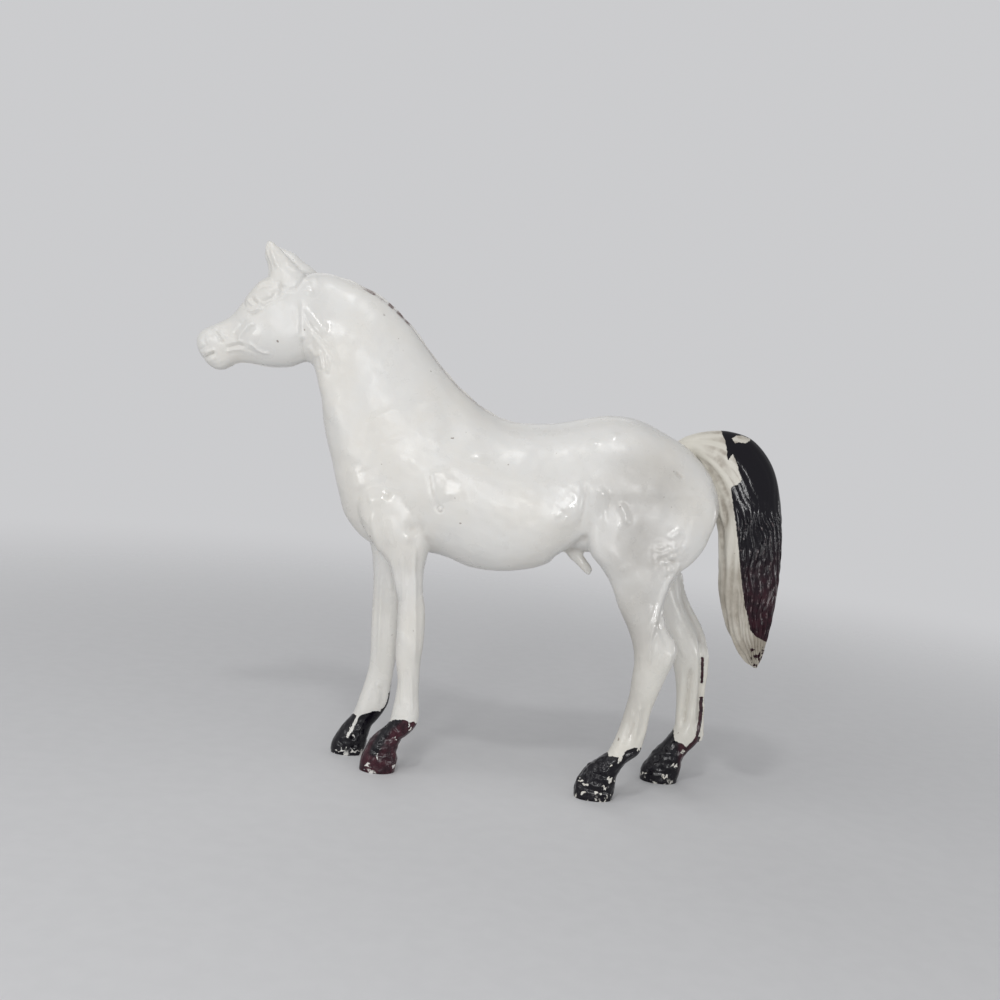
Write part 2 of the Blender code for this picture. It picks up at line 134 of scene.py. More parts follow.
# Seam: width and rounding of its rim, then the fin of flash on it
RIM_WIDTH = 0.14
RIM_ROUNDING = 0.10
RIM_LEAST_NORMAL = 0.2
FLASH_ROUNDS = 6
FLASH_STEP = 0.25
FLASH_STEPS_FOR_DIRECTION = 3
FLASH_SPREAD = 2.0
FLASH_ALL_ROUND = 0.02
FLASH_AT_CREST = 0.16
FLASH_AT_JAW = 0.07
FLASH_UNEVEN = 0.35
FLASH_FINE = 0.4
FLASH_MOST = 0.30
FLASH_LEAST = 0.04
FLASH_ROOT = 0.35
FLASH_HALF_THICKNESS = 0.05
FLASH_TAPER = 0.6

# Tail: strands round half of it, then strengths from the upper tail to the lower or from the rear to the
# front, and the distances along it, or levels, between which they change
TAIL_STRANDS = 12.0
LOWER_TAIL = (14.0, 22.0)
STRAND_WANDER = (0.20, 0.36)
STRAND_SHORT_WANDER = (0.04, 0.21)
STRAND_SHARPNESS = 0.8
STRAND_MIDDLE = 0.6
COARSE_Z = (59.5, 57.0)
STRAND_HEIGHT = (0.050, 0.45)
STRAND_BREAKS = 0.32
TAIL_FRONT = (0.38, 0.26)
FRONT_SMOOTH = 0.93
COMBED_FROM = (10.0, 15.0)
FOLD_HEIGHT = (0.02, 0.24)
FOLDS_COARSE = (0.45, 1.0)
TAIL_ROOT = (3.0, 8.0)
TAIL_END = (0.0, 2.0)
STRAND_FURROW = (0.62, 0.10)
FOLD_FURROW = (0.6, -1.2)
FURROWS_FROM = (3.0, 9.0)
TAIL_MAROON = (27.0, 42.0)
# How the tail's patterns stretch round it, along it and from side to side, and then each more than that
TAIL_STRETCH = (6.0, 0.42, 1.0)
SHORT_STRETCH = (1.0, 1.3, 1.0)
BREAK_STRETCH = (7.0, 1.8, 1.0)
FOLD_STRETCH = (5.2, 0.8, 1.0)

# Paint of the hooves: the ragged edge of its chips in pixels, and how high its soles are worn
CHIP_RAGGED = 1.3
WORN_Z = (1.5, 0.1)
# Traces of the mane's paint in the seam along the crest: the stretches where they are strong and faint, how
# wide they are there, how they break into dashes, and between which y they lie
STRONG_TRACE = ((0.19, 0.26), (0.48, 0.42))
FAINT_TRACE = ((0.14, 0.22), (1.0, 0.9))
STRONG_WIDTH = (0.46, 0.16)
FAINT_WIDTH = (0.34, 0.10)
FAINT_STRENGTH = 0.35
TRACE_DASHES = (-0.35, 0.25)
TRACE_Y = (-1.6, 0.03)
# Maroon instead of black: the fore hoof of the near side but for its front, the rear of the far hind hoof,
# and the mane
BLACK_FRONT_WIDTH = (0.5, 1.6)
NEAR_SIDE_Y = (0.0, 1.0)
FAR_LEG_Y = (2.0, 3.0)
HIND_MAROON = 0.8
MANE_MAROON = 0.45
MANE_ABOVE_Z = 60.0
# Ivory tint of the legs: it grows downwards and is weaker on the fore legs
IVORY_Z = (44.0, 16.0)
IVORY_X = (0.0, 20.0)
IVORY_LEGS = (0.35, 1.0)
# Tip of the tail: how much of its paint is lost, and the flecks that are left
TIP_LOSS = 1.2
TIP_FLECKS = 0.36
TIP_FINE_FLECKS = 0.8
TIP_BARE = -0.3
NO_FLECKS = -3.0

# Uneven patterns: wavelength, seed and number of waves
RIPPLES = {
    "swell": (9.0, 1, 18),
    "grain": (3.2, 2, 18),
    "mane edge": (3.4, 5, 10),
    "mane strands": (7.0, 8, 10),
    "flash": (5.0, 21, 12),
    "fine flash": (1.6, 22, 12),
    "crest traces": (2.4, 31, 12),
    "wandering": (6.0, 41, 14),
    "short wandering": (3.2, 42, 14),
    "folds": (4.0, 43, 14),
    "broken strands": (2.8, 44, 14),
    "flecks": (1.6, 51, 18),
    "fine flecks": (0.7, 52, 18),
    "pebbles": (1.5, 61, 18),
    "lumps": (1.7, 61, 18),
    "chips across": (1.1, 71, 18),
    "chips up": (1.1, 72, 18),
}
WAVE_SPREAD = (0.6, 1.5)

# Soft patches of noise in the materials: size in mm, the noise's values between which a patch rises, its
# least and most strength, and the noise's detail and roughness
PATCHES = {
    "warm white": (16.0, (0.40, 0.66), (0.0, 1.0), 3.0, 0.5),
    "pale ivory": (5.0, (0.35, 0.65), (0.0, 1.0), 4.0, 0.5),
    "smudges": (2.6, (0.58, 0.80), (0.0, 0.14), 6.0, 0.7),
    "painted_shade_patches": (9.0, (0.25, 0.75), (0.38, 0.72), 5.0, 0.6),
    # dirt and painted shade in the recesses of the body and in the tail's furrows
    "dirt_and_shade": (1.4, (0.2, 0.8), (0.10, 0.42), 4.0, 0.5),
    "tail_dirt_and_shade": (1.4, (0.2, 0.8), (0.10, 0.95), 4.0, 0.5),
    "specks": (1.1, (0.765, 0.80), (0.0, 1.0), 1.0, 0.5),
    "speckled places": (7.0, (0.50, 0.62), (0.0, 1.0), 1.0, 0.5),
    "maroon": (1.6, (0.34, 0.66), (0.35, 1.0), 4.0, 0.5),
    "chips": (1.6, (0.56, 0.60), (0.0, 1.0), 5.0, 0.62),
    "scattered chips": (0.9, (0.80, 0.82), (0.0, 1.0), 3.0, 0.6),
    "traces": (0.7, (0.35, 0.6), (0.5, 1.0), 3.0, 0.5),
    "plastic roughness": (3.5, (0.25, 0.75), (0.25, 0.38), 5.0, 0.6),
    "paint roughness": (0.9, (0.3, 0.7), (0.11, 0.30), 4.0, 0.5),
    "darker_tip": (6.0, (0.3, 0.7), (0.30, 0.90), 5.0, 0.6),
    "worn and glinting strands": (1.2, (0.54, 0.63), (0.0, 1.0), 4.0, 0.6),
    "tail roughness": (1.4, (0.3, 0.7), (0.06, 0.16), 4.0, 0.6),
    "floor": (4.0, (0.3, 0.7), (0.0, 1.0), 3.0, 0.5),
}
# Fine unevenness of the surfaces: depth, size, detail and roughness, the first two in mm
BODY_BUMPS = ((0.10, 5.0, 2.0, 0.5), (0.016, 1.1, 3.0, 0.6), (0.003, 0.35, 2.0, 0.5))
TAIL_BUMPS = ((0.04, 1.0, 3.0, 0.6), (0.006, 0.3, 2.0, 0.5))
# Paint: its ragged edge in mm with the noise it comes from, its rim, the noise in its thickness, and how
# thick it stands on the body and on the tail in mm
RAGGED_EDGE = 0.7
RAGGED_NOISE = (0.8, 4.0, 0.6)
PAINT_RIM = (-0.03, 0.05)
THICKNESS_NOISE = (1.0, 3.0, 0.5)
THICKNESS_UNEVEN = (0.7, 0.5)
PAINT_HEIGHT = 0.10
TAIL_PAINT_HEIGHT = 0.08
# Strengths of ivory, specks, scattered chips, and of the tail's lighter ridge tops, partly wear and partly
# painted highlight, and of its maroon
LEG_IVORY = 0.75
SPECK_STRENGTH = 0.75
SCATTER_STRENGTH = 0.9
WORN_AND_GLINT_RIDGE = (0.86, 1.0)
WORN_AND_GLINT_STRENGTH = 0.42
TAIL_MAROON_STRENGTH = 0.55
# What polish takes off the roughness, what bare plastic of the tail adds to it, the specular level of bare
# and painted plastic, and how the tail's bare plastic grows darker towards its tip, following its maroon
POLISH = (0.0, -0.18)
BARE_TAIL = (0.22, 0.0)
SPECULAR = (0.5, 0.34)
DARKER_TIP_EDGE = (0.0, 0.6)
DARKER_TIP_STRENGTH = (0.16, 1.0)
WHOLE = (0.0, 1.0)

# Floor, seen as it fades into the pale surroundings, and the light of those surroundings
FLOOR_REACH = 0.60
FLOOR_SIDES = 64
FLOOR_FADE = (0.06, 0.40)
FLOOR_COLOURS = ((0.725, 0.727, 0.737), (0.740, 0.742, 0.752))
PALE = (0.600, 0.602, 0.615)
WORLD_STRENGTH = 0.48
# Soft round or oval lamps that face the middle of the figure: place, width and height in metres, watts
LAMPS = {
    "key": ((-0.24, -0.20, 0.12), 0.34, 0.34, 0.083),
    "window": ((-0.29, -0.30, 0.06), 0.10, 0.10, 0.12),
    "near window": ((-0.12, -0.45, 0.185), 0.075, 0.075, 0.22),
    "front": ((-0.02, -0.45, 0.095), 0.11, 0.11, 0.16),
    "glint": ((0.07, -0.45, 0.060), 0.050, 0.11, 0.24),
    "high glint": ((-0.05, -0.28, 0.44), 0.055, 0.055, 0.24),
    "top": ((-0.15, -0.20, 0.50), 0.55, 0.55, 0.53),
    "fill": ((0.33, -0.27, 0.024), 0.13, 0.030, 0.15),
    "rim": ((0.40, 0.05, 0.055), 0.08, 0.10, 0.09),
    "back": ((-0.10, 0.50, 0.50), 0.50, 0.50, 0.40),
}
LAMP_AIM = (0.0, 0.0, 0.05)

# Cross sections of trunk, neck and head: upper end, lower end, half width,
# level where it is widest as a share of its height, and boxiness (1 is an oval, less is squarer)
BODY_RINGS = (
    ((45.9, 60.4), (45.8, 56.4), 3.4, 0.50, 0.90),
    ((45.0, 63.0), (44.7, 53.2), 6.0, 0.50, 0.85),
    ((43.2, 65.9), (42.9, 50.4), 7.5, 0.52, 0.85),
    ((40.2, 68.9), (40.0, 48.4), 8.6, 0.53, 0.88),
    ((37.2, 70.9), (37.2, 47.4), 9.4, 0.54, 0.90),
    ((32.9, 72.9), (32.9, 46.8), 10.3, 0.52, 0.90),
    ((28.0, 74.65), (28.0, 46.8), 10.7, 0.50, 0.90),
    ((23.0, 74.8), (23.0, 47.2), 10.5, 0.47, 0.90),
    ((18.0, 73.8), (18.0, 47.6), 10.2, 0.42, 0.90),
    ((13.0, 72.4), (13.0, 44.2), 10.6, 0.40, 0.90),
    ((8.0, 71.7), (8.0, 42.55), 10.9, 0.40, 0.88),
    ((3.0, 71.75), (3.0, 41.9), 11.0, 0.40, 0.90),
    ((-1.0, 72.9), (-2.0, 42.0), 10.9, 0.42, 0.96),
    ((-4.5, 74.9), (-6.5, 43.4), 10.6, 0.40, 1.00),
    ((-8.0, 77.4), (-11.5, 44.0), 10.1, 0.38, 1.05),
    ((-11.5, 80.7), (-17.0, 44.0), 9.6, 0.38, 1.05),
    ((-14.8, 84.3), (-22.5, 44.7), 8.8, 0.38, 1.00),
    ((-18.0, 88.0), (-27.0, 48.4), 7.8, 0.40, 1.00),
    ((-21.2, 90.8), (-29.4, 53.5), 6.9, 0.42, 0.96),
    ((-24.5, 93.1), (-31.0, 59.0), 6.1, 0.44, 0.92),
    ((-28.0, 94.7), (-32.8, 64.5), 5.4, 0.44, 0.92),
    ((-31.5, 95.9), (-34.1, 69.5), 4.9, 0.42, 0.92),
    ((-35.0, 96.6), (-35.3, 74.8), 4.5, 0.40, 0.92),
    ((-37.6, 96.6), (-37.0, 78.7), 4.3, 0.50, 0.92),
    ((-40.0, 96.4), (-38.8, 79.1), 4.5, 0.50, 0.85),
    ((-43.2, 96.2), (-41.5, 78.0), 4.8, 0.50, 0.80),
    ((-46.2, 95.6), (-44.5, 77.6), 4.9, 0.52, 0.78),
    ((-48.6, 94.0), (-47.0, 77.6), 4.6, 0.56, 0.78),
    ((-50.4, 91.7), (-49.2, 77.8), 4.1, 0.58, 0.82),
    ((-52.0, 89.3), (-50.8, 77.8), 3.5, 0.55, 0.85),
    ((-53.6, 87.1), (-52.2, 77.5), 3.0, 0.52, 0.88),
    ((-55.3, 85.6), (-53.5, 76.7), 2.75, 0.52, 0.88),
    ((-57.2, 84.5), (-55.0, 76.0), 2.75, 0.55, 0.85),
    ((-58.8, 83.5), (-56.6, 76.2), 2.65, 0.58, 0.85),
    ((-60.0, 82.4), (-58.3, 77.2), 2.1, 0.55, 0.90),
    ((-60.35, 81.0), (-59.6, 78.8), 1.2, 0.50, 1.00),
)

# Cross sections of each limb from inside the body to its end:
# front edge, rear edge, distance of its middle from the seam, half thickness, and for a thigh the
# share of the way from rear to front where it is thickest
LIMB_RINGS = {
    "left_fore": (
        ((-22.5, 60.0), (-9.5, 60.0), 5.2, 3.2),
        ((-25.0, 54.0), (-9.5, 53.5), 5.5, 3.9),
        ((-23.3, 48.0), (-9.9, 47.0), 5.5, 3.9),
        ((-19.5, 43.5), (-10.3, 43.5), 5.3, 3.4),
        ((-17.0, 40.5), (-10.7, 40.5), 5.1, 2.95),
        ((-15.8, 37.0), (-10.6, 37.0), 5.0, 2.7),
        ((-15.2, 34.0), (-9.9, 34.0), 5.0, 2.55),
        ((-15.0, 30.5), (-9.5, 30.5), 5.0, 2.45),
        ((-14.8, 26.0), (-9.4, 26.0), 5.0, 2.45),
        ((-14.5, 22.5), (-9.6, 22.3), 5.0, 2.25),
        ((-13.8, 18.7), (-9.5, 18.5), 5.0, 1.95),
        ((-13.9, 15.0), (-9.2, 15.0), 5.0, 1.95),
        ((-14.2, 12.2), (-8.8, 12.0), 5.0, 2.15),
        ((-14.5, 10.2), (-9.1, 10.0), 5.0, 2.3),
        ((-15.7, 8.6), (-10.2, 8.3), 5.0, 2.15),
        ((-17.2, 7.1), (-11.7, 6.8), 5.0, 2.2),
        ((-18.1, 6.0), (-12.4, 5.5), 5.0, 2.5),
        ((-18.9, 4.2), (-12.5, 3.9), 5.0, 2.65),
        ((-19.6, 2.0), (-12.3, 2.0), 5.0, 2.75),
        ((-19.7, -0.2), (-12.7, -0.2), 5.0, 2.8),
    ),
    "right_fore": (
        ((-22.5, 60.0), (-9.5, 60.0), 5.2, 3.2),
        ((-25.0, 54.0), (-9.8, 53.5), 5.5, 3.9),
        ((-24.5, 48.0), (-12.0, 47.0), 5.5, 3.9),
        ((-22.8, 43.5), (-14.0, 43.5), 5.3, 3.4),
        ((-22.0, 40.0), (-15.2, 40.0), 5.1, 2.95),
        ((-21.5, 37.0), (-15.4, 37.0), 5.0, 2.7),
        ((-21.2, 33.0), (-15.2, 33.0), 5.0, 2.55),
        ((-21.1, 29.5), (-15.0, 29.5), 5.0, 2.45),
        ((-20.9, 25.0), (-15.0, 25.0), 5.0, 2.45),
        ((-20.6, 21.5), (-15.2, 21.5), 5.0, 2.25),
        ((-20.7, 18.0), (-15.5, 18.0), 5.0, 1.95),
        ((-21.2, 15.0), (-15.7, 14.8), 5.0, 1.95),
        ((-21.9, 12.0), (-15.8, 11.8), 5.0, 2.15),
        ((-22.5, 9.6), (-16.4, 9.9), 5.0, 2.3),
        ((-23.2, 7.9), (-17.6, 7.8), 5.0, 2.15),
        ((-24.3, 6.6), (-18.6, 6.4), 5.0, 2.2),
        ((-25.1, 5.4), (-19.2, 5.0), 5.0, 2.5),
        ((-26.0, 3.6), (-19.5, 3.5), 5.0, 2.65),
        ((-26.8, 1.7), (-19.8, 1.7), 5.0, 2.75),
        ((-26.9, -0.2), (-20.1, -0.2), 5.0, 2.8),
    ),
    "left_hind": (
        ((21.5, 67.5), (36.0, 66.5), 4.4, 3.6, 0.60),
        ((20.6, 60.5), (44.6, 60.5), 5.6, 4.75, 0.68),
        ((20.3, 52.5), (44.0, 53.0), 6.4, 4.6, 0.72),
        ((21.2, 48.2), (41.7, 48.5), 7.0, 4.3, 0.70),
        ((23.9, 45.2), (39.1, 46.0), 7.4, 3.8, 0.60),
        ((25.7, 42.5), (37.5, 43.0), 7.6, 3.3),
        ((27.1, 39.5), (36.6, 39.8), 7.8, 2.9),
        ((28.7, 36.5), (36.7, 36.6), 7.9, 2.6),
        ((30.2, 33.8), (38.3, 33.8), 8.0, 2.45),
        ((31.4, 31.0), (39.9, 31.2), 8.0, 2.6),
        ((32.0, 27.8), (39.7, 28.6), 8.0, 2.55),
        ((31.9, 24.5), (38.6, 25.2), 8.0, 2.2),
        ((31.8, 21.0), (37.3, 21.3), 8.0, 1.95),
        ((31.2, 17.2), (36.2, 17.5), 8.0, 1.85),
        ((30.5, 14.0), (35.9, 14.2), 8.0, 1.95),
        ((29.8, 11.5), (35.5, 11.5), 8.0, 2.2),
        ((28.8, 9.3), (34.9, 9.6), 8.0, 2.2),
        ((27.0, 7.9), (33.0, 7.9), 8.0, 2.15),
        ((25.5, 6.6), (31.9, 6.4), 8.0, 2.45),
        ((24.3, 4.8), (31.2, 4.8), 8.0, 2.65),
        ((23.2, 2.4), (31.1, 2.5), 8.0, 2.8),
        ((23.2, -0.2), (30.7, -0.2), 8.0, 2.85),
    ),
    "right_hind": (
        ((23.5, 65.0), (41.0, 65.0), 5.4, 4.2, 0.65),
        ((21.5, 58.0), (45.0, 58.5), 5.9, 4.9, 0.72),
        ((21.0, 52.0), (44.7, 53.0), 6.5, 4.7, 0.70),
        ((23.5, 48.0), (43.6, 48.5), 7.0, 4.3, 0.60),
        ((27.5, 45.0), (41.6, 45.5), 7.4, 3.8),
        ((31.0, 42.0), (41.4, 42.5), 7.6, 3.3),
        ((33.8, 39.3), (42.0, 39.5), 7.8, 2.9),
        ((36.3, 36.5), (43.5, 36.5), 7.9, 2.6),
        ((38.0, 33.8), (45.3, 33.8), 8.0, 2.45),
        ((39.6, 31.0), (47.0, 31.0), 8.0, 2.6),
        ((41.3, 27.8), (48.4, 28.0), 8.0, 2.5),
        ((42.3, 24.5), (48.5, 24.5), 8.0, 2.2),
        ((43.2, 21.0), (48.4, 21.0), 8.0, 1.95),
        ((43.8, 17.2), (48.4, 17.2), 8.0, 1.85),
        ((44.0, 14.0), (48.8, 14.0), 8.0, 1.95),
        ((43.9, 11.5), (49.4, 11.3), 8.0, 2.2),
        ((42.9, 9.6), (49.2, 9.2), 8.0, 2.2),
        ((41.7, 7.9), (48.2, 7.7), 8.0, 2.15),
        ((40.6, 6.5), (47.1, 6.4), 8.0, 2.45),
        ((39.4, 4.6), (46.3, 4.6), 8.0, 2.65),
        ((38.1, 2.4), (46.2, 2.5), 8.0, 2.8),
        ((38.0, -0.2), (45.6, -0.2), 8.0, 2.85),
    ),
    "right_fin": (
        ((40.6, 44.0), (42.0, 44.0), 7.6, 0.3),
        ((40.6, 40.0), (42.9, 40.5), 7.8, 0.45),
        ((42.7, 36.0), (44.9, 37.0), 7.9, 0.5),
        ((45.3, 32.0), (47.7, 32.4), 8.0, 0.5),
        ((46.9, 28.0), (49.3, 28.0), 8.0, 0.5),
        ((47.2, 24.0), (49.7, 24.0), 8.0, 0.5),
        ((47.2, 19.0), (49.6, 19.0), 8.0, 0.5),
        ((47.4, 14.0), (50.0, 14.0), 8.0, 0.5),
        ((48.0, 10.5), (50.4, 10.6), 8.0, 0.45),
        ((48.6, 9.4), (49.9, 9.0), 8.0, 0.3),
    ),
    "left_ear": (
        ((-47.2, 92.0), (-39.0, 92.0), 2.5, 1.5),
        ((-46.7, 94.6), (-38.9, 94.6), 2.6, 1.5),
        ((-46.5, 96.4), (-40.2, 96.6), 2.7, 1.35),
        ((-46.9, 97.6), (-41.9, 97.8), 2.8, 1.15),
        ((-47.5, 98.8), (-43.4, 99.1), 2.9, 0.95),
        ((-47.9, 100.1), (-44.9, 100.4), 3.0, 0.75),
        ((-47.7, 101.2), (-46.2, 101.4), 3.0, 0.5),
        ((-47.3, 101.8), (-46.8, 101.8), 3.0, 0.25),
    ),
    "right_ear": (
        ((-48.0, 92.0), (-38.0, 92.0), 2.5, 1.5),
        ((-48.0, 95.0), (-37.0, 95.4), 2.6, 1.5),
        ((-48.3, 97.4), (-39.0, 97.8), 2.7, 1.35),
        ((-48.9, 98.7), (-41.3, 99.1), 2.8, 1.15),
        ((-49.2, 99.8), (-43.0, 100.3), 2.9, 0.95),
        ((-49.0, 100.9), (-45.0, 101.1), 3.0, 0.7),
        ((-48.4, 101.6), (-47.1, 101.5), 3.0, 0.4),
    ),
    "sheath": (
        ((17.6, 50.4), (15.4, 47.6), 0.0, 1.1),
        ((19.6, 48.2), (17.3, 45.9), 0.0, 0.95),
        ((20.6, 46.6), (19.1, 44.7), 0.0, 0.85),
        ((21.7, 45.1), (20.7, 43.4), 0.0, 0.75),
        ((22.6, 43.9), (22.0, 42.5), 0.0, 0.55),
    ),
}

# Cross sections of the tail from inside the dock to the tip: front edge, rear edge, half width
TAIL_RINGS = (
    ((38.8, 66.6), (35.2, 69.9), 1.3),
    ((40.6, 68.3), (38.1, 72.3), 1.7),
    ((42.2, 66.3), (42.3, 73.8), 2.2),
    ((43.6, 63.6), (46.8, 74.2), 2.7),
    ((44.8, 60.3), (51.7, 72.8), 3.05),
    ((46.3, 56.2), (56.0, 68.1), 3.3),
    ((47.3, 52.0), (58.4, 61.2), 3.4),
    ((48.1, 46.5), (59.5, 52.5), 3.3),
    ((49.0, 40.7), (59.9, 44.3), 3.0),
    ((50.7, 35.3), (59.4, 37.1), 2.5),
    ((53.0, 31.7), (58.7, 32.2), 1.85),
    ((55.6, 28.6), (58.2, 29.2), 1.0),
    ((57.1, 27.5), (57.8, 27.5), 0.3),
)
TAIL_SIDES = 220
TAIL_RINGS_PER_STEP = 22

# Soft hollows where forms meet: place in the photograph, radius in mm, rounds of smoothing
EASED = (
    ((420, 545), 3.0, 30), ((380, 553), 2.6, 24), ((582, 548), 2.6, 24), ((668, 580), 2.2, 16),
    ((700, 565), 2.2, 10), ((300, 275), 2.4, 30), ((268, 283), 1.6, 16), ((312, 362), 1.2, 10),
    ((592, 545), 2.0, 10), ((685, 445), 1.5, 6), ((590, 505), 3.4, 24), ((594, 470), 4.0, 30),
)

# Carving of the head, both sides alike: (path or place in the photograph, width, height) in mm
HEAD_STROKES = (
    # eye socket, lids and brow
    (((274, 281), (280, 284), (282.5, 290), (280, 296), (273, 301), (263, 306), (251, 310)), 0.41, -0.21),
    (((257, 290), (262, 287.5), (268, 286.5), (274, 287)), 0.24, -0.12),
    (((256, 287), (261, 283.5), (268, 281.5), (275, 281.5)), 0.34, 0.2),
    (((285, 281), (287, 290), (283, 299), (275, 305)), 0.57, 0.1),
    (((256, 301), (264, 301), (272, 298), (277, 292)), 0.24, -0.17),
    (((248, 316), (255, 314), (262, 310), (268, 305)), 0.27, -0.20),
    (((246, 311), (254, 310), (262, 306)), 0.25, 0.22),
    (((244, 298), (243.5, 303), (246, 308)), 0.27, -0.22),
    (((247, 297), (249, 302), (254, 306)), 0.22, 0.22),
    (((251, 296), (254, 301), (259, 305)), 0.22, -0.20),
    (((255, 295), (258, 300), (263, 303)), 0.24, 0.16),
    # facial crest and the hollows beside it
    (((255, 321), (248, 326), (242, 333), (237, 341)), 0.52, 0.30),
    (((260, 327), (253, 333), (247, 340), (244, 344)), 0.60, -0.05),
    (((248, 319), (241, 325), (235, 332), (231, 338)), 0.36, -0.14),
    (((240, 318), (233, 326), (227, 334)), 1.08, -0.09),
    (((225, 348), (232, 346), (240, 345), (247, 347)), 0.26, -0.15),
    (((224, 345), (232, 342.5), (240, 341), (246, 343)), 0.28, 0.17),
    (((225, 352), (232, 350), (240, 349), (246, 351)), 0.3, 0.19),
    (((247, 342), (252, 345), (258, 350), (264, 353), (272, 353)), 0.32, 0.22),
    (((246, 348), (252, 351), (258, 355)), 0.29, -0.09),
    (((232, 357), (244, 357), (258, 359), (272, 360)), 0.96, -0.1),
    # nostril, lips and chin
    (((215, 330), (219, 334), (222, 339), (224, 344)), 0.29, -0.22),
    (((211, 328), (216, 332.5), (220, 338), (221.5, 342)), 0.28, 0.2),
    (((219, 328), (224, 333), (227, 338)), 0.34, 0.14),
    (((206, 335), (204, 340), (207, 345)), 0.43, -0.14),
    (((209, 344), (204, 347), (199, 351)), 0.29, -0.16),
    (((216, 352), (209, 355), (202, 359)), 0.28, -0.36),
    (((216, 349), (210, 351), (204, 354)), 0.32, 0.15),
    (((218, 357), (211, 360), (206, 362)), 0.34, 0.12),
    (((226, 361), (218, 364.5), (210, 365)), 0.36, -0.09),
    # jowl and throat
    (((301, 296), (302, 310), (302, 325), (302, 338)), 0.66, -0.12),
    (((302, 336), (303, 346), (305, 356), (308, 363)), 0.45, -0.34),
    (((297, 300), (298, 320), (298, 340)), 0.92, 0.12),
    (((307, 300), (311, 312), (317, 323), (328, 335)), 1.05, 0.14),
    (((304, 310), (308, 321), (315, 332), (325, 342), (331, 350)), 0.28, -0.12),
    (((309, 328), (315, 337), (322, 345), (330, 355), (337, 367)), 0.62, 0.16),
    (((308, 345), (312, 351), (317, 358)), 0.42, 0.18),
    (((318, 350), (321, 360), (322, 371)), 0.40, 0.18),
    (((318, 354), (320, 363), (321, 374)), 0.36, -0.11),
    (((325, 352), (327, 362), (328, 375)), 0.39, 0.15),
    (((333, 338), (337, 352), (339, 368), (340, 385)), 1.03, 0.12),
    (((306, 288), (310, 292), (314, 290)), 0.57, 0.12),
    # ear and its root
    (((277, 279), (282, 286), (288, 290), (295, 289), (300, 284), (305, 277), (310, 273), (318, 272)),
     0.41, -0.22),
    (((274, 261), (281, 257), (288, 265), (294, 273)), 0.96, -0.11),
    (((268, 247), (269, 254), (272, 262), (275, 272)), 0.29, -0.1),
    (((270, 246), (273, 254), (277, 263), (281, 273)), 0.34, 0.14),
    (((306, 284), (311, 280), (319, 278)), 0.8, 0.14),
    (((284, 262), (292, 268), (300, 272), (308, 276)), 0.3, 0.12),
)
HEAD_DABS = (
    ((268, 292), (1.8, 1.1), 0.44, 25.0),
    ((257, 299), (0.8, 0.6), 0.12, 0.0),
    ((208, 338), (1.5, 1.6), 0.28, 0.0),
    ((219, 364), (1.8, 0.9), 0.22, 10.0),
    ((277, 335), (3.6, 3.0), 0.20, 0.0),
    ((229, 333), (1.4, 1.0), -0.12, 40.0),
    ((240, 340), (0.7, 0.5), 0.14, 0.0),
)

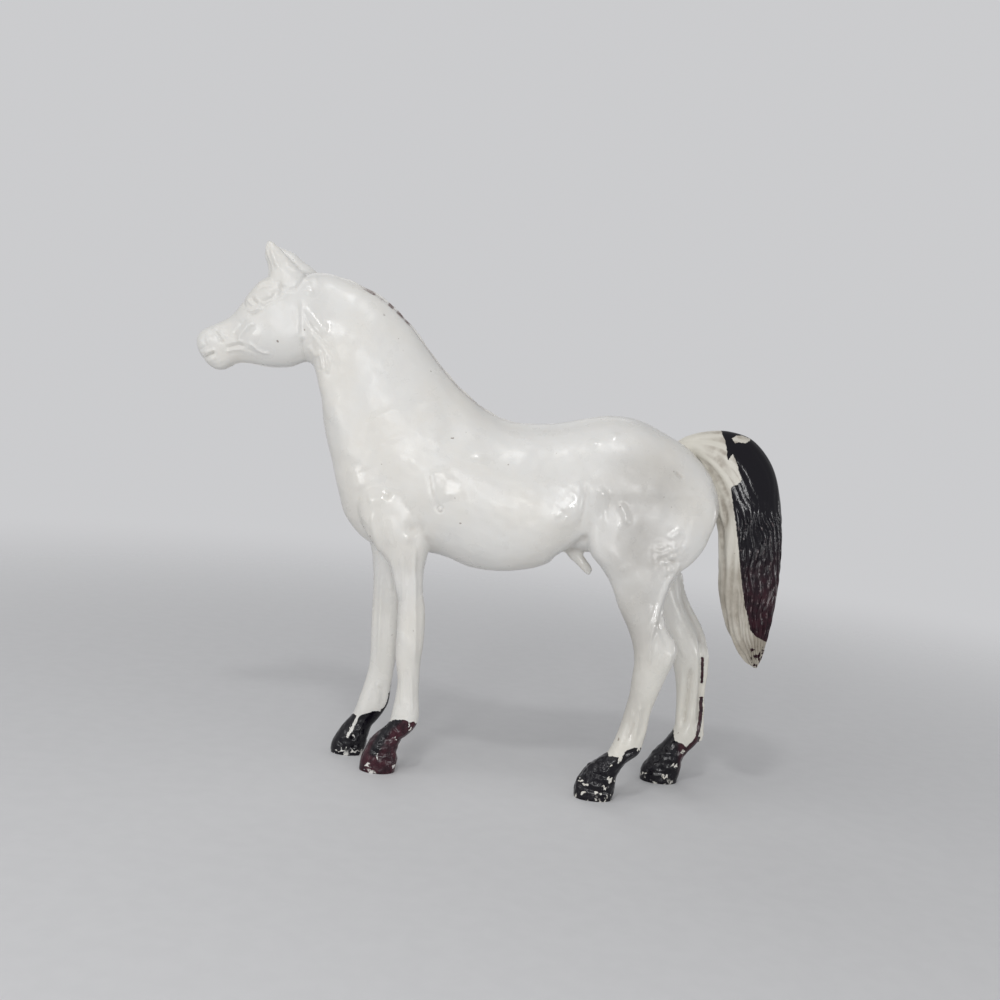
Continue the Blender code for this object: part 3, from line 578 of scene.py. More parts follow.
# Carving of neck and trunk, both sides alike
BODY_STROKES = (
    # faint muscle ridges in front of the shoulder blade
    (((362, 426), (376, 417), (390, 411), (408, 407)), 0.60, 0.08),
    (((366, 455), (380, 445), (394, 438), (410, 434)), 0.60, 0.09),
    (((364, 438), (378, 430), (392, 424), (406, 420)), 1.00, -0.06),
    (((345, 385), (352, 410), (358, 435), (360, 455)), 2.4, -0.09),
    (((332, 395), (338, 420), (343, 445), (347, 465)), 1.56, 0.13),
    # rear edge of the shoulder and upper arm
    (((428, 466), (430, 478), (432, 491), (436, 503), (437, 514)), 0.55, -0.20),
    (((434, 466), (437, 479), (441, 492), (445, 504)), 2.80, 0.32),
    (((424, 400), (430, 418), (434, 436), (434, 450)), 2.86, 0.17),
    (((404, 520), (412, 528), (422, 535), (434, 545), (446, 556)), 1.05, -0.23),
    (((406, 537), (411, 529), (419, 525), (430, 528)), 0.9, -0.13),
    (((405, 545), (410, 537), (418, 534), (427, 539)), 0.78, 0.11),
    # chest and front of the fore leg
    (((351, 466), (355, 478), (360, 491)), 1.43, 0.21),
    (((366, 500), (376, 499), (386, 497)), 1.3, 0.2),
    (((362, 468), (368, 480), (371, 490)), 1.5, -0.08),
    (((371, 512), (373, 526), (376, 541), (381, 558)), 0.55, 0.27),
    (((377, 512), (380, 526), (384, 541), (387, 556)), 0.9, -0.13),
    (((389, 514), (391, 530), (393, 548)), 1.04, 0.11),
    (((360, 520), (365, 528), (372, 536)), 0.39, -0.07),
    (((357, 527), (363, 535), (369, 541)), 0.39, -0.07),
    (((362, 516), (368, 524), (373, 531)), 0.34, 0.08),
    # belly and flank
    (((550, 563), (560, 557), (572, 547.5), (582, 539.5), (590, 535)), 0.75, -0.50),
    (((553, 557), (564, 550), (575, 541), (584, 534)), 1.04, 0.15),
    (((560, 512), (568, 500), (576, 490)), 2.86, 0.07),
    (((584, 478), (585, 496), (582, 514), (578, 532)), 0.60, -0.26),
    (((580, 474), (578, 492), (575, 512), (568, 534)), 2.60, 0.32),
    (((602, 486), (603, 500), (604, 513), (604, 526)), 0.80, 0.20),
    (((590, 523), (595, 520), (600, 523)), 0.72, 0.1),
    (((610, 492), (611, 508), (614, 524)), 1.35, -0.12),
    (((617, 503), (623, 508), (626, 516), (628, 527)), 0.60, 0.30),
    (((620, 500), (628, 506), (631, 516), (632, 526)), 0.9, -0.06),
    # haunch and thigh
    (((694, 500), (689, 520), (682, 540), (672, 560)), 2.2, 0.50),
    (((640, 500), (648, 525), (650, 550), (644, 572)), 3.9, -0.1),
    (((684, 561), (675, 571), (668, 582), (662, 596), (657, 612), (653, 630), (650, 645)), 0.46, 0.42),
    (((668, 572), (660, 584), (654, 598), (650, 614)), 1.2, -0.13),
    (((688, 562), (680, 571), (673, 581), (668, 592)), 0.6, -0.11),
    (((668, 540), (674, 535), (681, 530)), 0.36, 0.20),
    (((671, 545), (677, 540), (684, 535)), 0.45, -0.10),
    (((664, 553), (670, 549), (677, 547)), 0.40, 0.16),
    (((661, 563), (667, 559), (675, 557)), 0.45, 0.16),
    (((675, 470), (679, 474.5), (683.5, 479)), 0.40, -0.25),
    (((673, 474), (677, 478), (681, 481)), 0.39, 0.07),
)
BODY_DABS = (
    ((480, 459), (1.7, 0.9), 0.20, 0.0),
    ((594, 443), (0.9, 0.8), 0.20, 0.0),
    ((615, 436), (0.8, 0.7), 0.17, 0.0),
    ((520, 500), (6.0, 4.0), 0.10, 0.0),
    ((655, 480), (5.0, 5.0), 0.14, 0.0),
    ((436, 432), (1.4, 2.4), 0.14, -10.0),
    ((367, 480), (1.2, 2.0), 0.10, 0.0),
    ((643, 548), (4.0, 5.0), -0.50, 0.0),
    ((622, 570), (0.7, 0.7), 0.14, 0.0),
    ((665, 619), (0.9, 1.3), 0.24, -20.0),
)

# Places polished by handling, where the plastic is glossier: place in the photograph, radii in pixels
POLISHED = (
    ((449, 487), (22, 15)), ((568, 508), (13, 23)), ((480, 459), (9, 5)), ((594, 443), (6, 5)),
    ((615, 436), (6, 4)), ((601, 508), (5, 20)), ((623, 516), (7, 14)), ((676, 533), (10, 7)),
    ((669, 557), (14, 12)), ((674, 577), (9, 12)), ((658, 608), (9, 28)), ((356, 479), (8, 17)),
    ((384, 496), (17, 8)), ((376, 530), (7, 28)), ((414, 610), (6, 70)), ((319, 321), (14, 20)),
    ((323, 358), (8, 22)), ((380, 620), (6, 56)), ((674, 630), (8, 28)), ((636, 718), (14, 28)),
    ((244, 334), (14, 15)), ((236, 347), (16, 8)), ((264, 352), (12, 6)), ((219, 335), (8, 9)),
    ((311, 290), (9, 7)),
)
# Places on the haunch, thigh and gaskin whose colour is darkened as painted shade: place, radii in pixels
SHADED_PLACES = (((642, 492), (54, 46)), ((638, 548), (44, 50)), ((636, 620), (30, 60)), ((624, 690), (24, 50)))
# Pebbled patches: place, radii, height
PEBBLED = (
    ((669, 556), (2.6, 2.4), 0.15), ((673, 578), (1.4, 2.2), 0.10), ((388, 497), (1.0, 0.9), 0.12),
    ((322, 330), (1.6, 2.4), 0.03), ((566, 515), (1.8, 2.4), 0.035),
    ((664, 618), (1.0, 1.6), 0.08),
)

# Carving of single legs, as each is seen in the photograph: side, path, width, height
LEG_STROKES = (
    (LEFT, ((391, 556), (394, 570), (397, 586), (397, 602)), 0.37, 0.30),
    (LEFT, ((387, 560), (390, 575), (392, 592), (392, 610)), 0.52, -0.08),
    (LEFT, ((415, 538), (414.5, 570), (415, 605), (415, 640), (414, 672)), 0.36, 0.30),
    (LEFT, ((420, 545), (419, 575), (420, 605), (419, 640)), 0.39, -0.08),
    (LEFT, ((409, 545), (408, 580), (409, 612)), 0.72, -0.1),
    (LEFT, ((403, 552), (403, 580), (404, 606)), 0.55, 0.11),
    (LEFT, ((396, 632), (404, 640), (412, 650), (410, 664)), 0.88, 0.13),
    (LEFT, ((411, 668), (411.5, 685), (412, 702), (412, 716)), 0.29, 0.19),
    (LEFT, ((405, 668), (406, 685), (406, 704)), 0.39, -0.11),
    (LEFT, ((402, 672), (401.5, 690), (401, 708)), 0.29, 0.13),
    (LEFT, ((388, 724), (383, 739), (376, 751)), 0.39, -0.1),
    (LEFT, ((370, 749), (379, 754), (389, 755), (399, 751)), 0.34, -0.15),
    (LEFT, ((372, 745), (380, 750), (389, 751), (398, 747)), 0.29, 0.13),
    (LEFT, ((389, 730), (393, 737), (399, 739), (405, 735)), 0.39, -0.19),
    (LEFT, ((392, 727), (397, 733), (403, 733)), 0.29, 0.19),
    (LEFT, ((404, 727), (409, 731), (413, 728)), 0.26, 0.16),
    (LEFT, ((377, 754), (374, 760), (372, 766)), 0.22, 0.16),
    (LEFT, ((383, 756), (381, 762), (379, 768)), 0.22, 0.13),
    (LEFT, ((390, 756), (391, 762), (390, 768)), 0.22, 0.11),
    (LEFT, ((655, 618), (661, 630), (665, 641), (669, 652)), 0.47, -0.21),
    (LEFT, ((662, 606), (668, 622), (672, 636), (675, 650)), 0.35, 0.21),
    (LEFT, ((652, 628), (651, 642), (650, 656), (650, 668)), 0.33, 0.24),
    (LEFT, ((672, 652), (670, 660), (667, 668)), 0.29, 0.16),
    (LEFT, ((641, 655), (641, 663), (641, 671)), 0.29, 0.11),
    (LEFT, ((633, 708), (632, 720), (629, 731), (626, 742)), 0.26, 0.21),
    (LEFT, ((637, 700), (636, 714), (633, 728), (629, 742)), 0.31, -0.09),
    (LEFT, ((641, 702), (639, 716), (636, 731), (633, 745)), 0.29, 0.27),
    (LEFT, ((646, 702), (644, 716), (641, 730), (637, 744)), 0.31, -0.1),
    (LEFT, ((651, 702), (648, 716), (645, 730), (641, 742)), 0.29, 0.19),
    (LEFT, ((587, 767), (596, 773), (606, 777), (617, 775)), 0.39, -0.15),
    (LEFT, ((588, 773), (596, 778), (606, 781)), 0.29, 0.16),
    (LEFT, ((600, 758), (606, 765), (612, 770)), 0.39, -0.1),
    (LEFT, ((592, 762), (598, 768), (603, 771)), 0.29, 0.14),
    (LEFT, ((578, 784), (588, 789), (602, 793), (614, 791)), 0.31, -0.1),
    (LEFT, ((621, 764), (627, 757), (635, 753)), 0.37, 0.24),
    (RIGHT, ((382, 570), (381, 600), (379, 635), (378, 668)), 0.36, 0.28),
    (RIGHT, ((376, 600), (376, 630), (374, 660)), 0.65, -0.07),
    (RIGHT, ((381, 684), (383, 694), (384, 705)), 0.47, -0.19),
    (RIGHT, ((376, 680), (378, 693), (378, 706)), 0.37, 0.14),
    (RIGHT, ((361, 716), (355, 728), (349, 739)), 0.31, -0.13),
    (RIGHT, ((366, 717), (360, 730), (355, 742)), 0.29, 0.16),
    (RIGHT, ((337, 741), (346, 747), (362, 746)), 0.31, -0.11),
    (RIGHT, ((345, 735), (354, 741), (364, 741)), 0.33, 0.11),
    (RIGHT, ((691, 662), (690, 680), (688, 698), (684, 716), (681, 732)), 0.70, -0.85),
    (RIGHT, ((683, 662), (682, 682), (680, 702), (677, 722)), 0.55, 0.16),
    (RIGHT, ((696.5, 650), (697, 678), (695, 705), (691, 732)), 0.37, 0.18),
    (RIGHT, ((677, 640), (681, 650), (686, 660)), 0.31, 0.21),
    (RIGHT, ((697, 622), (700, 640), (701, 665), (700.5, 690), (699, 715), (695, 737)), 0.34, -0.36),
    (RIGHT, ((683, 748), (680, 757), (679, 768)), 0.29, 0.19),
    (RIGHT, ((679, 748), (676, 758), (675, 769)), 0.31, -0.09),
    (RIGHT, ((644, 768), (655, 773), (674, 774)), 0.31, -0.1),
)
# Lumpy castings of the hooves and lower legs: side, place, radii, height
LUMPY = (
    (LEFT, (384, 748), (3.4, 4.6), 0.10), (RIGHT, (355, 738), (3.6, 3.4), 0.08),
    (LEFT, (596, 776), (4.6, 4.2), 0.13), (RIGHT, (664, 758), (4.2, 3.6), 0.07),
)

# Paint, outlined as seen in the photograph: (side of the body, outline)
PAINT_OUTLINES = (
    (LEFT, ((340, 733), (376, 728), (390, 721), (398, 719.5), (406, 720), (409, 723), (413, 721.5),
            (418, 724.5), (426, 726), (426, 800), (330, 800))),
    (RIGHT, ((310, 722), (341, 716), (354, 713.5), (357, 715.5), (351, 727), (346, 736.8), (348, 738),
             (353, 729.4), (359.4, 716), (363, 714), (372, 711.5), (380, 711), (384.5, 707), (387.5, 699),
             (389.5, 690), (391.5, 682.5), (393, 683), (392, 692), (391, 704), (388, 716), (392, 780),
             (310, 780))),
    (LEFT, ((560, 768), (585, 758), (599, 756), (607, 752), (609, 756), (613, 756), (619, 757.5), (618, 763),
            (621, 761), (626, 750), (634, 747.5), (641, 747.5), (643, 754), (640, 765), (632, 830),
            (555, 830))),
    (RIGHT, ((630, 748), (655, 742), (668, 733), (673, 727), (675, 741), (683, 744), (686, 747), (692, 742),
             (697, 735), (700, 737), (699, 745), (700, 800), (625, 800))),
    (RIGHT, ((701.2, 657), (703.8, 657), (703.6, 684), (700.4, 684))),
    (RIGHT, ((699.6, 697), (703.0, 697), (702.8, 712), (701, 727), (697.5, 741), (694.0, 745), (696.5, 731),
             (698.8, 714))),
)
# Spots where the paint has come off: side, place, radii in pixels
PAINT_CHIPS = (
    (LEFT, (609, 780), (3.2, 2.4)), (LEFT, (597, 793.5), (3.0, 2.0)), (LEFT, (586, 785), (2.0, 1.6)),
    (LEFT, (580, 779), (1.3, 1.2)), (LEFT, (583, 792.5), (2.2, 1.4)), (LEFT, (606, 788.5), (2.4, 1.1)),
    (LEFT, (639, 750), (2.0, 1.6)), (LEFT, (611, 766), (1.4, 1.0)), (LEFT, (607, 797), (2.0, 1.2)),
    (LEFT, (410, 728), (1.5, 1.5)), (LEFT, (396, 738), (1.9, 0.8)), (LEFT, (377, 755), (1.0, 2.4)),
    (LEFT, (367, 765), (3.0, 1.3)), (LEFT, (394, 767), (2.4, 1.2)),
    (RIGHT, (342, 750), (4.4, 1.3)), (RIGHT, (357, 751), (4.2, 1.1)), (RIGHT, (351, 728.5), (1.6, 1.8)),
    (RIGHT, (353, 735), (1.1, 1.7)), (RIGHT, (675, 765), (2.0, 2.6)), (RIGHT, (643, 772), (1.8, 1.2)),
    (RIGHT, (665, 777), (2.6, 1.0)), (RIGHT, (683, 751), (0.9, 2.6)),
)
# Outlines of the tail's paint and of the spot where it has come off
TAIL_PAINT = (
    (719, 420), (721, 431), (725, 440), (727, 452), (728, 460), (733, 454), (737, 464), (740, 474),
    (742, 480), (737, 485), (731, 487), (732, 498), (734, 510), (736, 522), (737, 535), (739, 550),
    (740, 567), (743, 593), (745, 606), (748, 618), (750, 630), (756, 638), (764, 646), (800, 650),
    (800, 420),
)
TAIL_CHIP = ((732, 438.5), (737, 435.5), (743, 436), (751.5, 439.5), (746, 443), (739, 442.5), (735, 443.5))

# Crest of the neck in the photograph, from the poll to the withers, the lower edge of the jaw, and the
# line down the front of the near fore hoof that is black where the rest is maroon
CREST = (
    (316, 273), (330, 275), (345, 279), (360, 286), (375, 294), (388, 303), (400, 314), (412, 327),
    (420, 338), (430, 352), (440, 366), (450, 378), (460, 389), (470, 398), (480, 406), (490, 413),
    (500, 418),
)
JAW = ((230, 364), (262, 366), (300, 364))
BLACK_FRONT = ((398, 719), (388, 726), (381, 738), (374, 752))
BROWN_FROM_X = (676.0, 682.0)
# Place of the tail's tip in the photograph: rows and columns between which its paint breaks into flecks
TIP_ROWS = (632.0, 648.0)
TIP_COLUMNS = (742.0, 752.0)

# Colours of plastic, dirt and paint, and of painted shade and painted highlight
WHITE = (0.735, 0.728, 0.705)
WARM_WHITE = (0.735, 0.717, 0.675)
IVORY = (0.668, 0.644, 0.574)
PALE_IVORY = (0.692, 0.668, 0.602)
SMUDGE = (0.46, 0.42, 0.36)
# painted shade for the haunch, thigh and gaskin
PAINTED_SHADE_GREY = (0.42, 0.40, 0.37)
# dirt and painted shade in the recesses
HOLLOW_DIRT_AND_SHADE = (0.34, 0.30, 0.25)
TAIL_DARKER_TIP_COLOUR = (0.30, 0.265, 0.215)
SPECK = (0.16, 0.11, 0.08)
SEAM_TRACE = (0.105, 0.050, 0.045)
BLACK_ENAMEL = (0.0044, 0.0036, 0.0066)
MAROON_ENAMEL = (0.056, 0.012, 0.020)
# lighter ridge tops of the tail: partly wear, partly painted highlight
WORN_AND_GLINT_TIP = (0.25, 0.20, 0.20)


def to_photo(points):
    """Pixels of the photograph's frame for points in mm."""
    rise_cos, rise_sin = math.cos(CAMERA_RISE), math.sin(CAMERA_RISE)
    roll_cos, roll_sin = math.cos(CAMERA_ROLL), math.sin(CAMERA_ROLL)
    x = points[:, 0] - AIM[0]
    y = points[:, 1] + CAMERA_DISTANCE * rise_cos
    z = points[:, 2] - AIM[2] - CAMERA_DISTANCE * rise_sin
    depth = y * rise_cos - z * rise_sin
    across = x / depth
    up = (y * rise_sin + z * rise_cos) / depth
    return np.stack((
        FRAME_PX / 2 + FOCAL_PX * (across * roll_cos + up * roll_sin),
        FRAME_PX / 2 - FOCAL_PX * (up * roll_cos - across * roll_sin),
    ), axis=1)


def near_side(points):
    """The points moved to their mirror places on the side that the photograph shows."""
    return points * (1.0, 0.0, 1.0) - np.abs(points) * (0.0, 1.0, 0.0)


def spline(rows, per_step):
    """Rows of numbers read from a smooth curve through the given rows."""
    rows = np.asarray(rows, dtype=float)
    padded = np.vstack((2 * rows[0] - rows[1], rows, 2 * rows[-1] - rows[-2]))
    share = np.linspace(0.0, 1.0, per_step, endpoint=False)[:, None]
    pieces = []
    for n in range(len(rows) - 1):
        a, b, c, d = padded[n:n + 4]
        pieces.append(0.5 * (
            2 * b + (c - a) * share + (2 * a - 5 * b + 4 * c - d) * share ** 2
            + (3 * b - a - 3 * c + d) * share ** 3
        ))
    pieces.append(rows[-1:])
    return np.vstack(pieces)


def smooth_step(values, low, high):
    """Rises softly from 0 at low to 1 at high, which may be the smaller number."""
    share = np.clip((values - low) / (high - low), 0.0, 1.0)
    return share * share * (3.0 - 2.0 * share)


def between(values, start, end):
    """1 between two soft ends, each given as the value where it is 0 and the value where it is 1."""
    return smooth_step(values, *start) * smooth_step(values, *end)


def blend(share, ends):
    """The number that lies the given share of the way from one end to the other."""
    return ends[0] + (ends[1] - ends[0]) * share


def ripple(points, name):
    """A named uneven pattern of about unit strength, made of waves that run in many directions."""
    wavelength, seed, waves = RIPPLES[name]
    chance = np.random.default_rng(seed)
    total = np.zeros(len(points))
    for _ in range(waves):
        direction = chance.normal(size=points.shape[1])
        direction *= chance.uniform(*WAVE_SPREAD) / np.linalg.norm(direction)
        total += np.sin(points @ direction * (2 * np.pi / wavelength) + chance.uniform(0, 2 * np.pi))
    return total / math.sqrt(waves / 2)


def along_path(uv, path):
    """Distance of pixels to a path in mm, and how far along the path each is, from 0 to 1."""
    path = np.asarray(path, dtype=float)
    lengths = np.linalg.norm(np.diff(path, axis=0), axis=1)
    starts = np.concatenate(([0.0], np.cumsum(lengths)))
    nearest = np.full(len(uv), 1e9)
    place = np.zeros(len(uv))
    for n, (a, b) in enumerate(zip(path, path[1:])):
        share = np.clip(((uv - a) @ (b - a)) / lengths[n] ** 2, 0.0, 1.0)
        distance = np.linalg.norm(uv - a - share[:, None] * (b - a), axis=1)
        closer = distance < nearest
        nearest = np.where(closer, distance, nearest)
        place = np.where(closer, (starts[n] + share * lengths[n]) / starts[-1], place)
    return nearest * PX, place


def inside(uv, outline):
    """Distance of pixels to an outline in mm, positive inside it."""
    outline = np.asarray(outline, dtype=float)
    distance, _ = along_path(uv, np.vstack((outline, outline[:1])))
    crossings = np.zeros(len(uv), dtype=int)
    for a, b in zip(outline, np.roll(outline, -1, axis=0)):
        spans = (a[1] > uv[:, 1]) != (b[1] > uv[:, 1])
        height = b[1] - a[1] if b[1] != a[1] else 1.0
        crossings += spans & (uv[:, 0] < a[0] + (uv[:, 1] - a[1]) / height * (b[0] - a[0]))
    return np.where(crossings % 2 == 1, distance, -distance)


def ring_grid(rows, per_step=RINGS_PER_STEP, sides=RING_SIDES):
    """Points (rings, sides, 3) of a loft. A row: edge, edge, middle y, half width, widest, boxiness."""
    rows = spline([(*row[0], *row[1], *row[2:]) for row in rows], per_step)
    first, second = rows[:, 0:2], rows[:, 2:4]
    middle_y, half_width, widest, boxiness = rows[:, 4:8].T[:, :, None]
    angle = np.linspace(0.0, 2 * np.pi, sides, endpoint=False)[None, :]
    across = np.sin(angle)
    along = np.cos(angle)
    across = np.sign(across) * np.abs(across) ** boxiness
    along = np.sign(along) * np.abs(along) ** boxiness
    along = along + (2 * widest - 1) * across ** 2
    middle = (first + second)[:, None, :] / 2
    reach = (first - second)[:, None, :] / 2
    side_view = middle + reach * along[:, :, None]
    y = middle_y + np.maximum(half_width, THINNEST) * across
    return np.stack((side_view[:, :, 0], y, side_view[:, :, 1]), axis=2)


def closed_mesh(name, points, faces):
    """A mesh whose faces all look outwards."""
    mesh = bpy.data.meshes.new(name)
    mesh.from_pydata(points.tolist(), [], faces)
    net = bmesh.new()
    net.from_mesh(mesh)
    bmesh.ops.recalc_face_normals(net, faces=net.faces)
    net.to_mesh(mesh)
    net.free()
    return mesh


def grid_mesh(name, grid):
    """A closed mesh over a grid of rings, with a fan at each end."""
    count, sides = grid.shape[:2]
    points = np.vstack((grid.reshape(-1, 3), grid[0].mean(axis=0), grid[-1].mean(axis=0)))
    ring, side = np.meshgrid(np.arange(count - 1), np.arange(sides), indexing="ij")
    after = (side + 1) % sides
    quads = np.stack((
        ring * sides + side, ring * sides + after, (ring + 1) * sides + after, (ring + 1) * sides + side,
    ), axis=2).reshape(-1, 4).tolist()
    start, end = count * sides, count * sides + 1
    last = (count - 1) * sides
    fans = [(start, (k + 1) % sides, k) for k in range(sides)]
    fans += [(end, last + k, last + (k + 1) % sides) for k in range(sides)]
    return closed_mesh(name, points, quads + fans)


def one_clay(name, meshes, voxel):
    """Joins overlapping closed meshes into one even skin of small quads."""
    net = bmesh.new()
    for mesh in meshes:
        net.from_mesh(mesh)
        bpy.data.meshes.remove(mesh)
    joined = bpy.data.meshes.new(name + "_joined")
    net.to_mesh(joined)
    net.free()
    lump = bpy.data.objects.new(name + "_lump", joined)
    bpy.context.scene.collection.objects.link(lump)
    remesh = lump.modifiers.new("even skin", "REMESH")
    remesh.mode = "VOXEL"
    remesh.voxel_size = voxel
    skin = bpy.data.meshes.new_from_object(lump.evaluated_get(bpy.context.evaluated_depsgraph_get()))
    bpy.data.objects.remove(lump)
    bpy.data.meshes.remove(joined)
    return skin


def refine(mesh, where):
    """Halves the quads whose middle lies where the test says."""
    net = bmesh.new()
    net.from_mesh(mesh)
    chosen = {face for face in net.faces if where(face.calc_center_median())}
    edges = [edge for edge in net.edges if any(face in chosen for face in edge.link_faces)]
    bmesh.ops.subdivide_edges(net, edges=edges, cuts=1, use_grid_fill=True, smooth=0.0)
    net.to_mesh(mesh)
    net.free()


def store_values(mesh, name, values):
    attribute = mesh.attributes.new(name, "FLOAT", "POINT")
    attribute.data.foreach_set("value", np.asarray(values, dtype=np.float32))


def mesh_points(mesh):
    points = np.empty(len(mesh.vertices) * 3)
    mesh.vertices.foreach_get("co", points)
    return points.reshape(-1, 3)


class Clay:
    """A mesh held as arrays, with the moves of a sculptor's tools."""

    def __init__(self, mesh):
        self.mesh = mesh
        self.co = mesh_points(mesh)
        edges = np.empty(len(mesh.edges) * 2, dtype=np.int64)
        mesh.edges.foreach_get("vertices", edges)
        self.edges = edges.reshape(-1, 2)
        self.degree = np.bincount(edges, minlength=len(self.co)).astype(float)

    def store(self):
        self.mesh.vertices.foreach_set("co", self.co.ravel())
        self.mesh.update()

    def around(self, values):
        """The mean of each vertex's neighbours."""
        total = np.zeros_like(values)
        for axis in range(values.shape[1]):
            total[:, axis] = np.bincount(
                self.edges[:, 0], values[self.edges[:, 1], axis], minlength=len(values)
            ) + np.bincount(self.edges[:, 1], values[self.edges[:, 0], axis], minlength=len(values))
        return total / self.degree[:, None]

    def smooth(self, rounds, weight=1.0, keep_volume=True):
        """Evens the skin. Where keep_volume is set, each round pushes back what it has drawn in."""
        weight = np.broadcast_to(np.asarray(weight, dtype=float), (len(self.co),))[:, None]
        for _ in range(rounds):
            self.co = self.co + DRAW_IN * weight * (self.around(self.co) - self.co)
            if keep_volume:
                self.co = self.co - PUSH_BACK * weight * (self.around(self.co) - self.co)

    def look(self):
        """Finds the normals, and where each vertex is seen, on its own side and mirrored to the near side."""
        self.store()
        normals = np.empty(len(self.co) * 3)
        self.mesh.vertex_normals.foreach_get("vector", normals)
        self.normal = normals.reshape(-1, 3)
        for _ in range(NORMAL_ROUNDS):
            self.normal = self.normal + self.around(self.normal)
        self.normal /= np.linalg.norm(self.normal, axis=1, keepdims=True)
        self.seen = to_photo(self.co)
        self.seen_near = to_photo(near_side(self.co))

    def places(self, side):
        """Where each vertex is seen, and 1 for those on the side. With BOTH, one side mirrors the other."""
        if side == BOTH:
            return self.seen_near, np.ones(len(self.co))
        return self.seen, smooth_step(self.co[:, 1] * side, -SEAM_BLEND, SEAM_BLEND)

    def press(self, amount):
        self.co = self.co + self.normal * amount[:, None]

    def ease(self, centre, radius, rounds):
        """Softens the hollow around a place."""
        distance = np.linalg.norm(self.seen_near - centre, axis=1) * PX
        self.smooth(rounds, np.exp(-(distance / radius) ** 2), keep_volume=False)

    def stroke(self, path, width, height, side=BOTH):
        """Raises, or with a negative height sinks, a band along a path, fading out at both ends."""
        uv, on_side = self.places(side)
        distance, place = along_path(uv, path)
        ends = smooth_step(np.minimum(place, 1.0 - place), 0.0, STROKE_FADE)
        self.press(height * np.exp(-(distance / width) ** 2) * ends * on_side)

    def dab(self, centre, radii, height, angle):
        """Raises or sinks an oval spot on both sides. The angle in degrees tilts its axis up to the right."""
        turn = math.radians(angle)
        away = (self.seen_near - centre) * (PX, -PX)
        u = away[:, 0] * math.cos(turn) + away[:, 1] * math.sin(turn)
        v = -away[:, 0] * math.sin(turn) + away[:, 1] * math.cos(turn)
        self.press(height * np.exp(-(u / radii[0]) ** 2 - (v / radii[1]) ** 2))

    def roughen(self, pattern, centre, radii, height, side=BOTH):
        """Raises an uneven pattern in an oval spot."""
        uv, on_side = self.places(side)
        share = np.exp(-np.sum(((uv - centre) * PX / radii) ** 2, axis=1))
        self.press(height * share * on_side * ripple(self.co, pattern))


def body_clay():
    """Trunk, neck, head, legs, ears and sheath as one skin."""
    rows = [(*ring[:2], 0.0, *ring[2:]) for ring in BODY_RINGS]
    meshes = [grid_mesh("trunk", ring_grid(rows))]
    for name, rings in LIMB_RINGS.items():
        side = LEFT if name.startswith("left") else RIGHT
        rows = [(*ring[:2], side * ring[2], ring[3], *(ring[4:] or (MID_LEVEL,)), LIMB_BOXINESS)
                for ring in rings]
        meshes.append(grid_mesh(name, ring_grid(rows)))
    skin = one_clay("body", meshes, VOXEL)
    rough = Clay(skin)
    rough.smooth(ROUGH_ROUNDS)
    rough.look()
    for centre, radius, rounds in EASED:
        rough.ease(centre, radius, rounds)
    rough.store()
    refine(skin, lambda point: (
        point.x < HEAD_FINE_X or point.z < HOOF_FINE_Z
        or (point.x < THROAT_FINE[0] and point.z > THROAT_FINE[1])
        or (point - Vector(GATE_MARK)).length < GATE_FINE
    ))
    clay = Clay(skin)
    clay.smooth(FINE_ROUNDS)
    return clay


def spots(uv, places):
    """Depth in mm inside oval spots given by place and radii in pixels, negative outside them."""
    depth = np.full(len(uv), FAR_OUTSIDE)
    for place, radii in places:
        away = np.linalg.norm((uv - place) / radii, axis=1)
        depth = np.maximum(depth, (1.0 - away) * min(radii) * PX)
    return depth


def closeness(uv, places, edge):
    """How far each pixel lies inside one of the oval places, from 0 outside them to 1."""
    most = np.zeros(len(uv))
    for centre, radii in places:
        away = np.linalg.norm((uv - centre) / radii, axis=1)
        most = np.maximum(most, smooth_step(away, *edge))
    return most


def mane_depth(seen_near, y):
    """How deep in the mane on the right side each vertex lies in mm, its place along the crest and its
    distance to it.
    """
    distance, place = along_path(seen_near, CREST)
    flat = np.stack((place, distance), axis=1) * MANE_EDGE_STRETCH
    reach = MANE_REACH + MANE_BULGE * np.sin(np.pi * place) + MANE_RAGGED * ripple(flat, "mane edge")
    reach = reach * between(place, *MANE_ENDS)
    depth = np.where(y > 0.0, reach - distance, -np.abs(y) - MANE_OFF_DEPTH)
    return depth, place, distance


def groove_middle(clay):
    """The cleft between the buttocks and the groove under the chest and breast."""
    x, y, z = clay.co.T
    depth, width = CLEFT
    behind = smooth_step(x, *CLEFT_BEHIND_X) * smooth_step(z, *CLEFT_BELOW_Z)
    clay.co[:, 0] -= depth * np.exp(-(y / width) ** 2) * behind
    depth, width = BREAST_GROOVE
    breast = smooth_step(x, *BREAST_BEFORE_X) * between(z, *BREAST_Z)
    clay.press(-depth * np.exp(-(y / width) ** 2) * breast)


def model_relief(clay):
    """Strokes, dabs and uneven patches of head, trunk and legs."""
    for strokes, dabs in ((HEAD_STROKES, HEAD_DABS), (BODY_STROKES, BODY_DABS)):
        for path, width, height in strokes:
            clay.stroke(path, width, height)
        for centre, radii, height, angle in dabs:
            clay.dab(centre, radii, height, angle)
    for side, path, width, height in LEG_STROKES:
        clay.stroke(path, width, height, side)
    for centre, radii, height in PEBBLED:
        clay.roughen("pebbles", centre, radii, height)
    for side, centre, radii, height in LUMPY:
        clay.roughen("lumps", centre, radii, height, side)


def model_gate(clay):
    """The mark that the moulding gate left on the near shoulder, a button in a ring."""
    away = np.linalg.norm(clay.seen - to_photo(np.array([GATE_MARK])), axis=1) * PX
    height, width = GATE_BUTTON
    button = height * np.exp(-(away / width) ** 2)
    depth, width = GATE_RING
    ring = depth * np.exp(-((away - GATE_RING_RADIUS) / width) ** 2)
    clay.press(smooth_step(-clay.co[:, 1], *NEAR_SIDE_Y) * (button - ring))


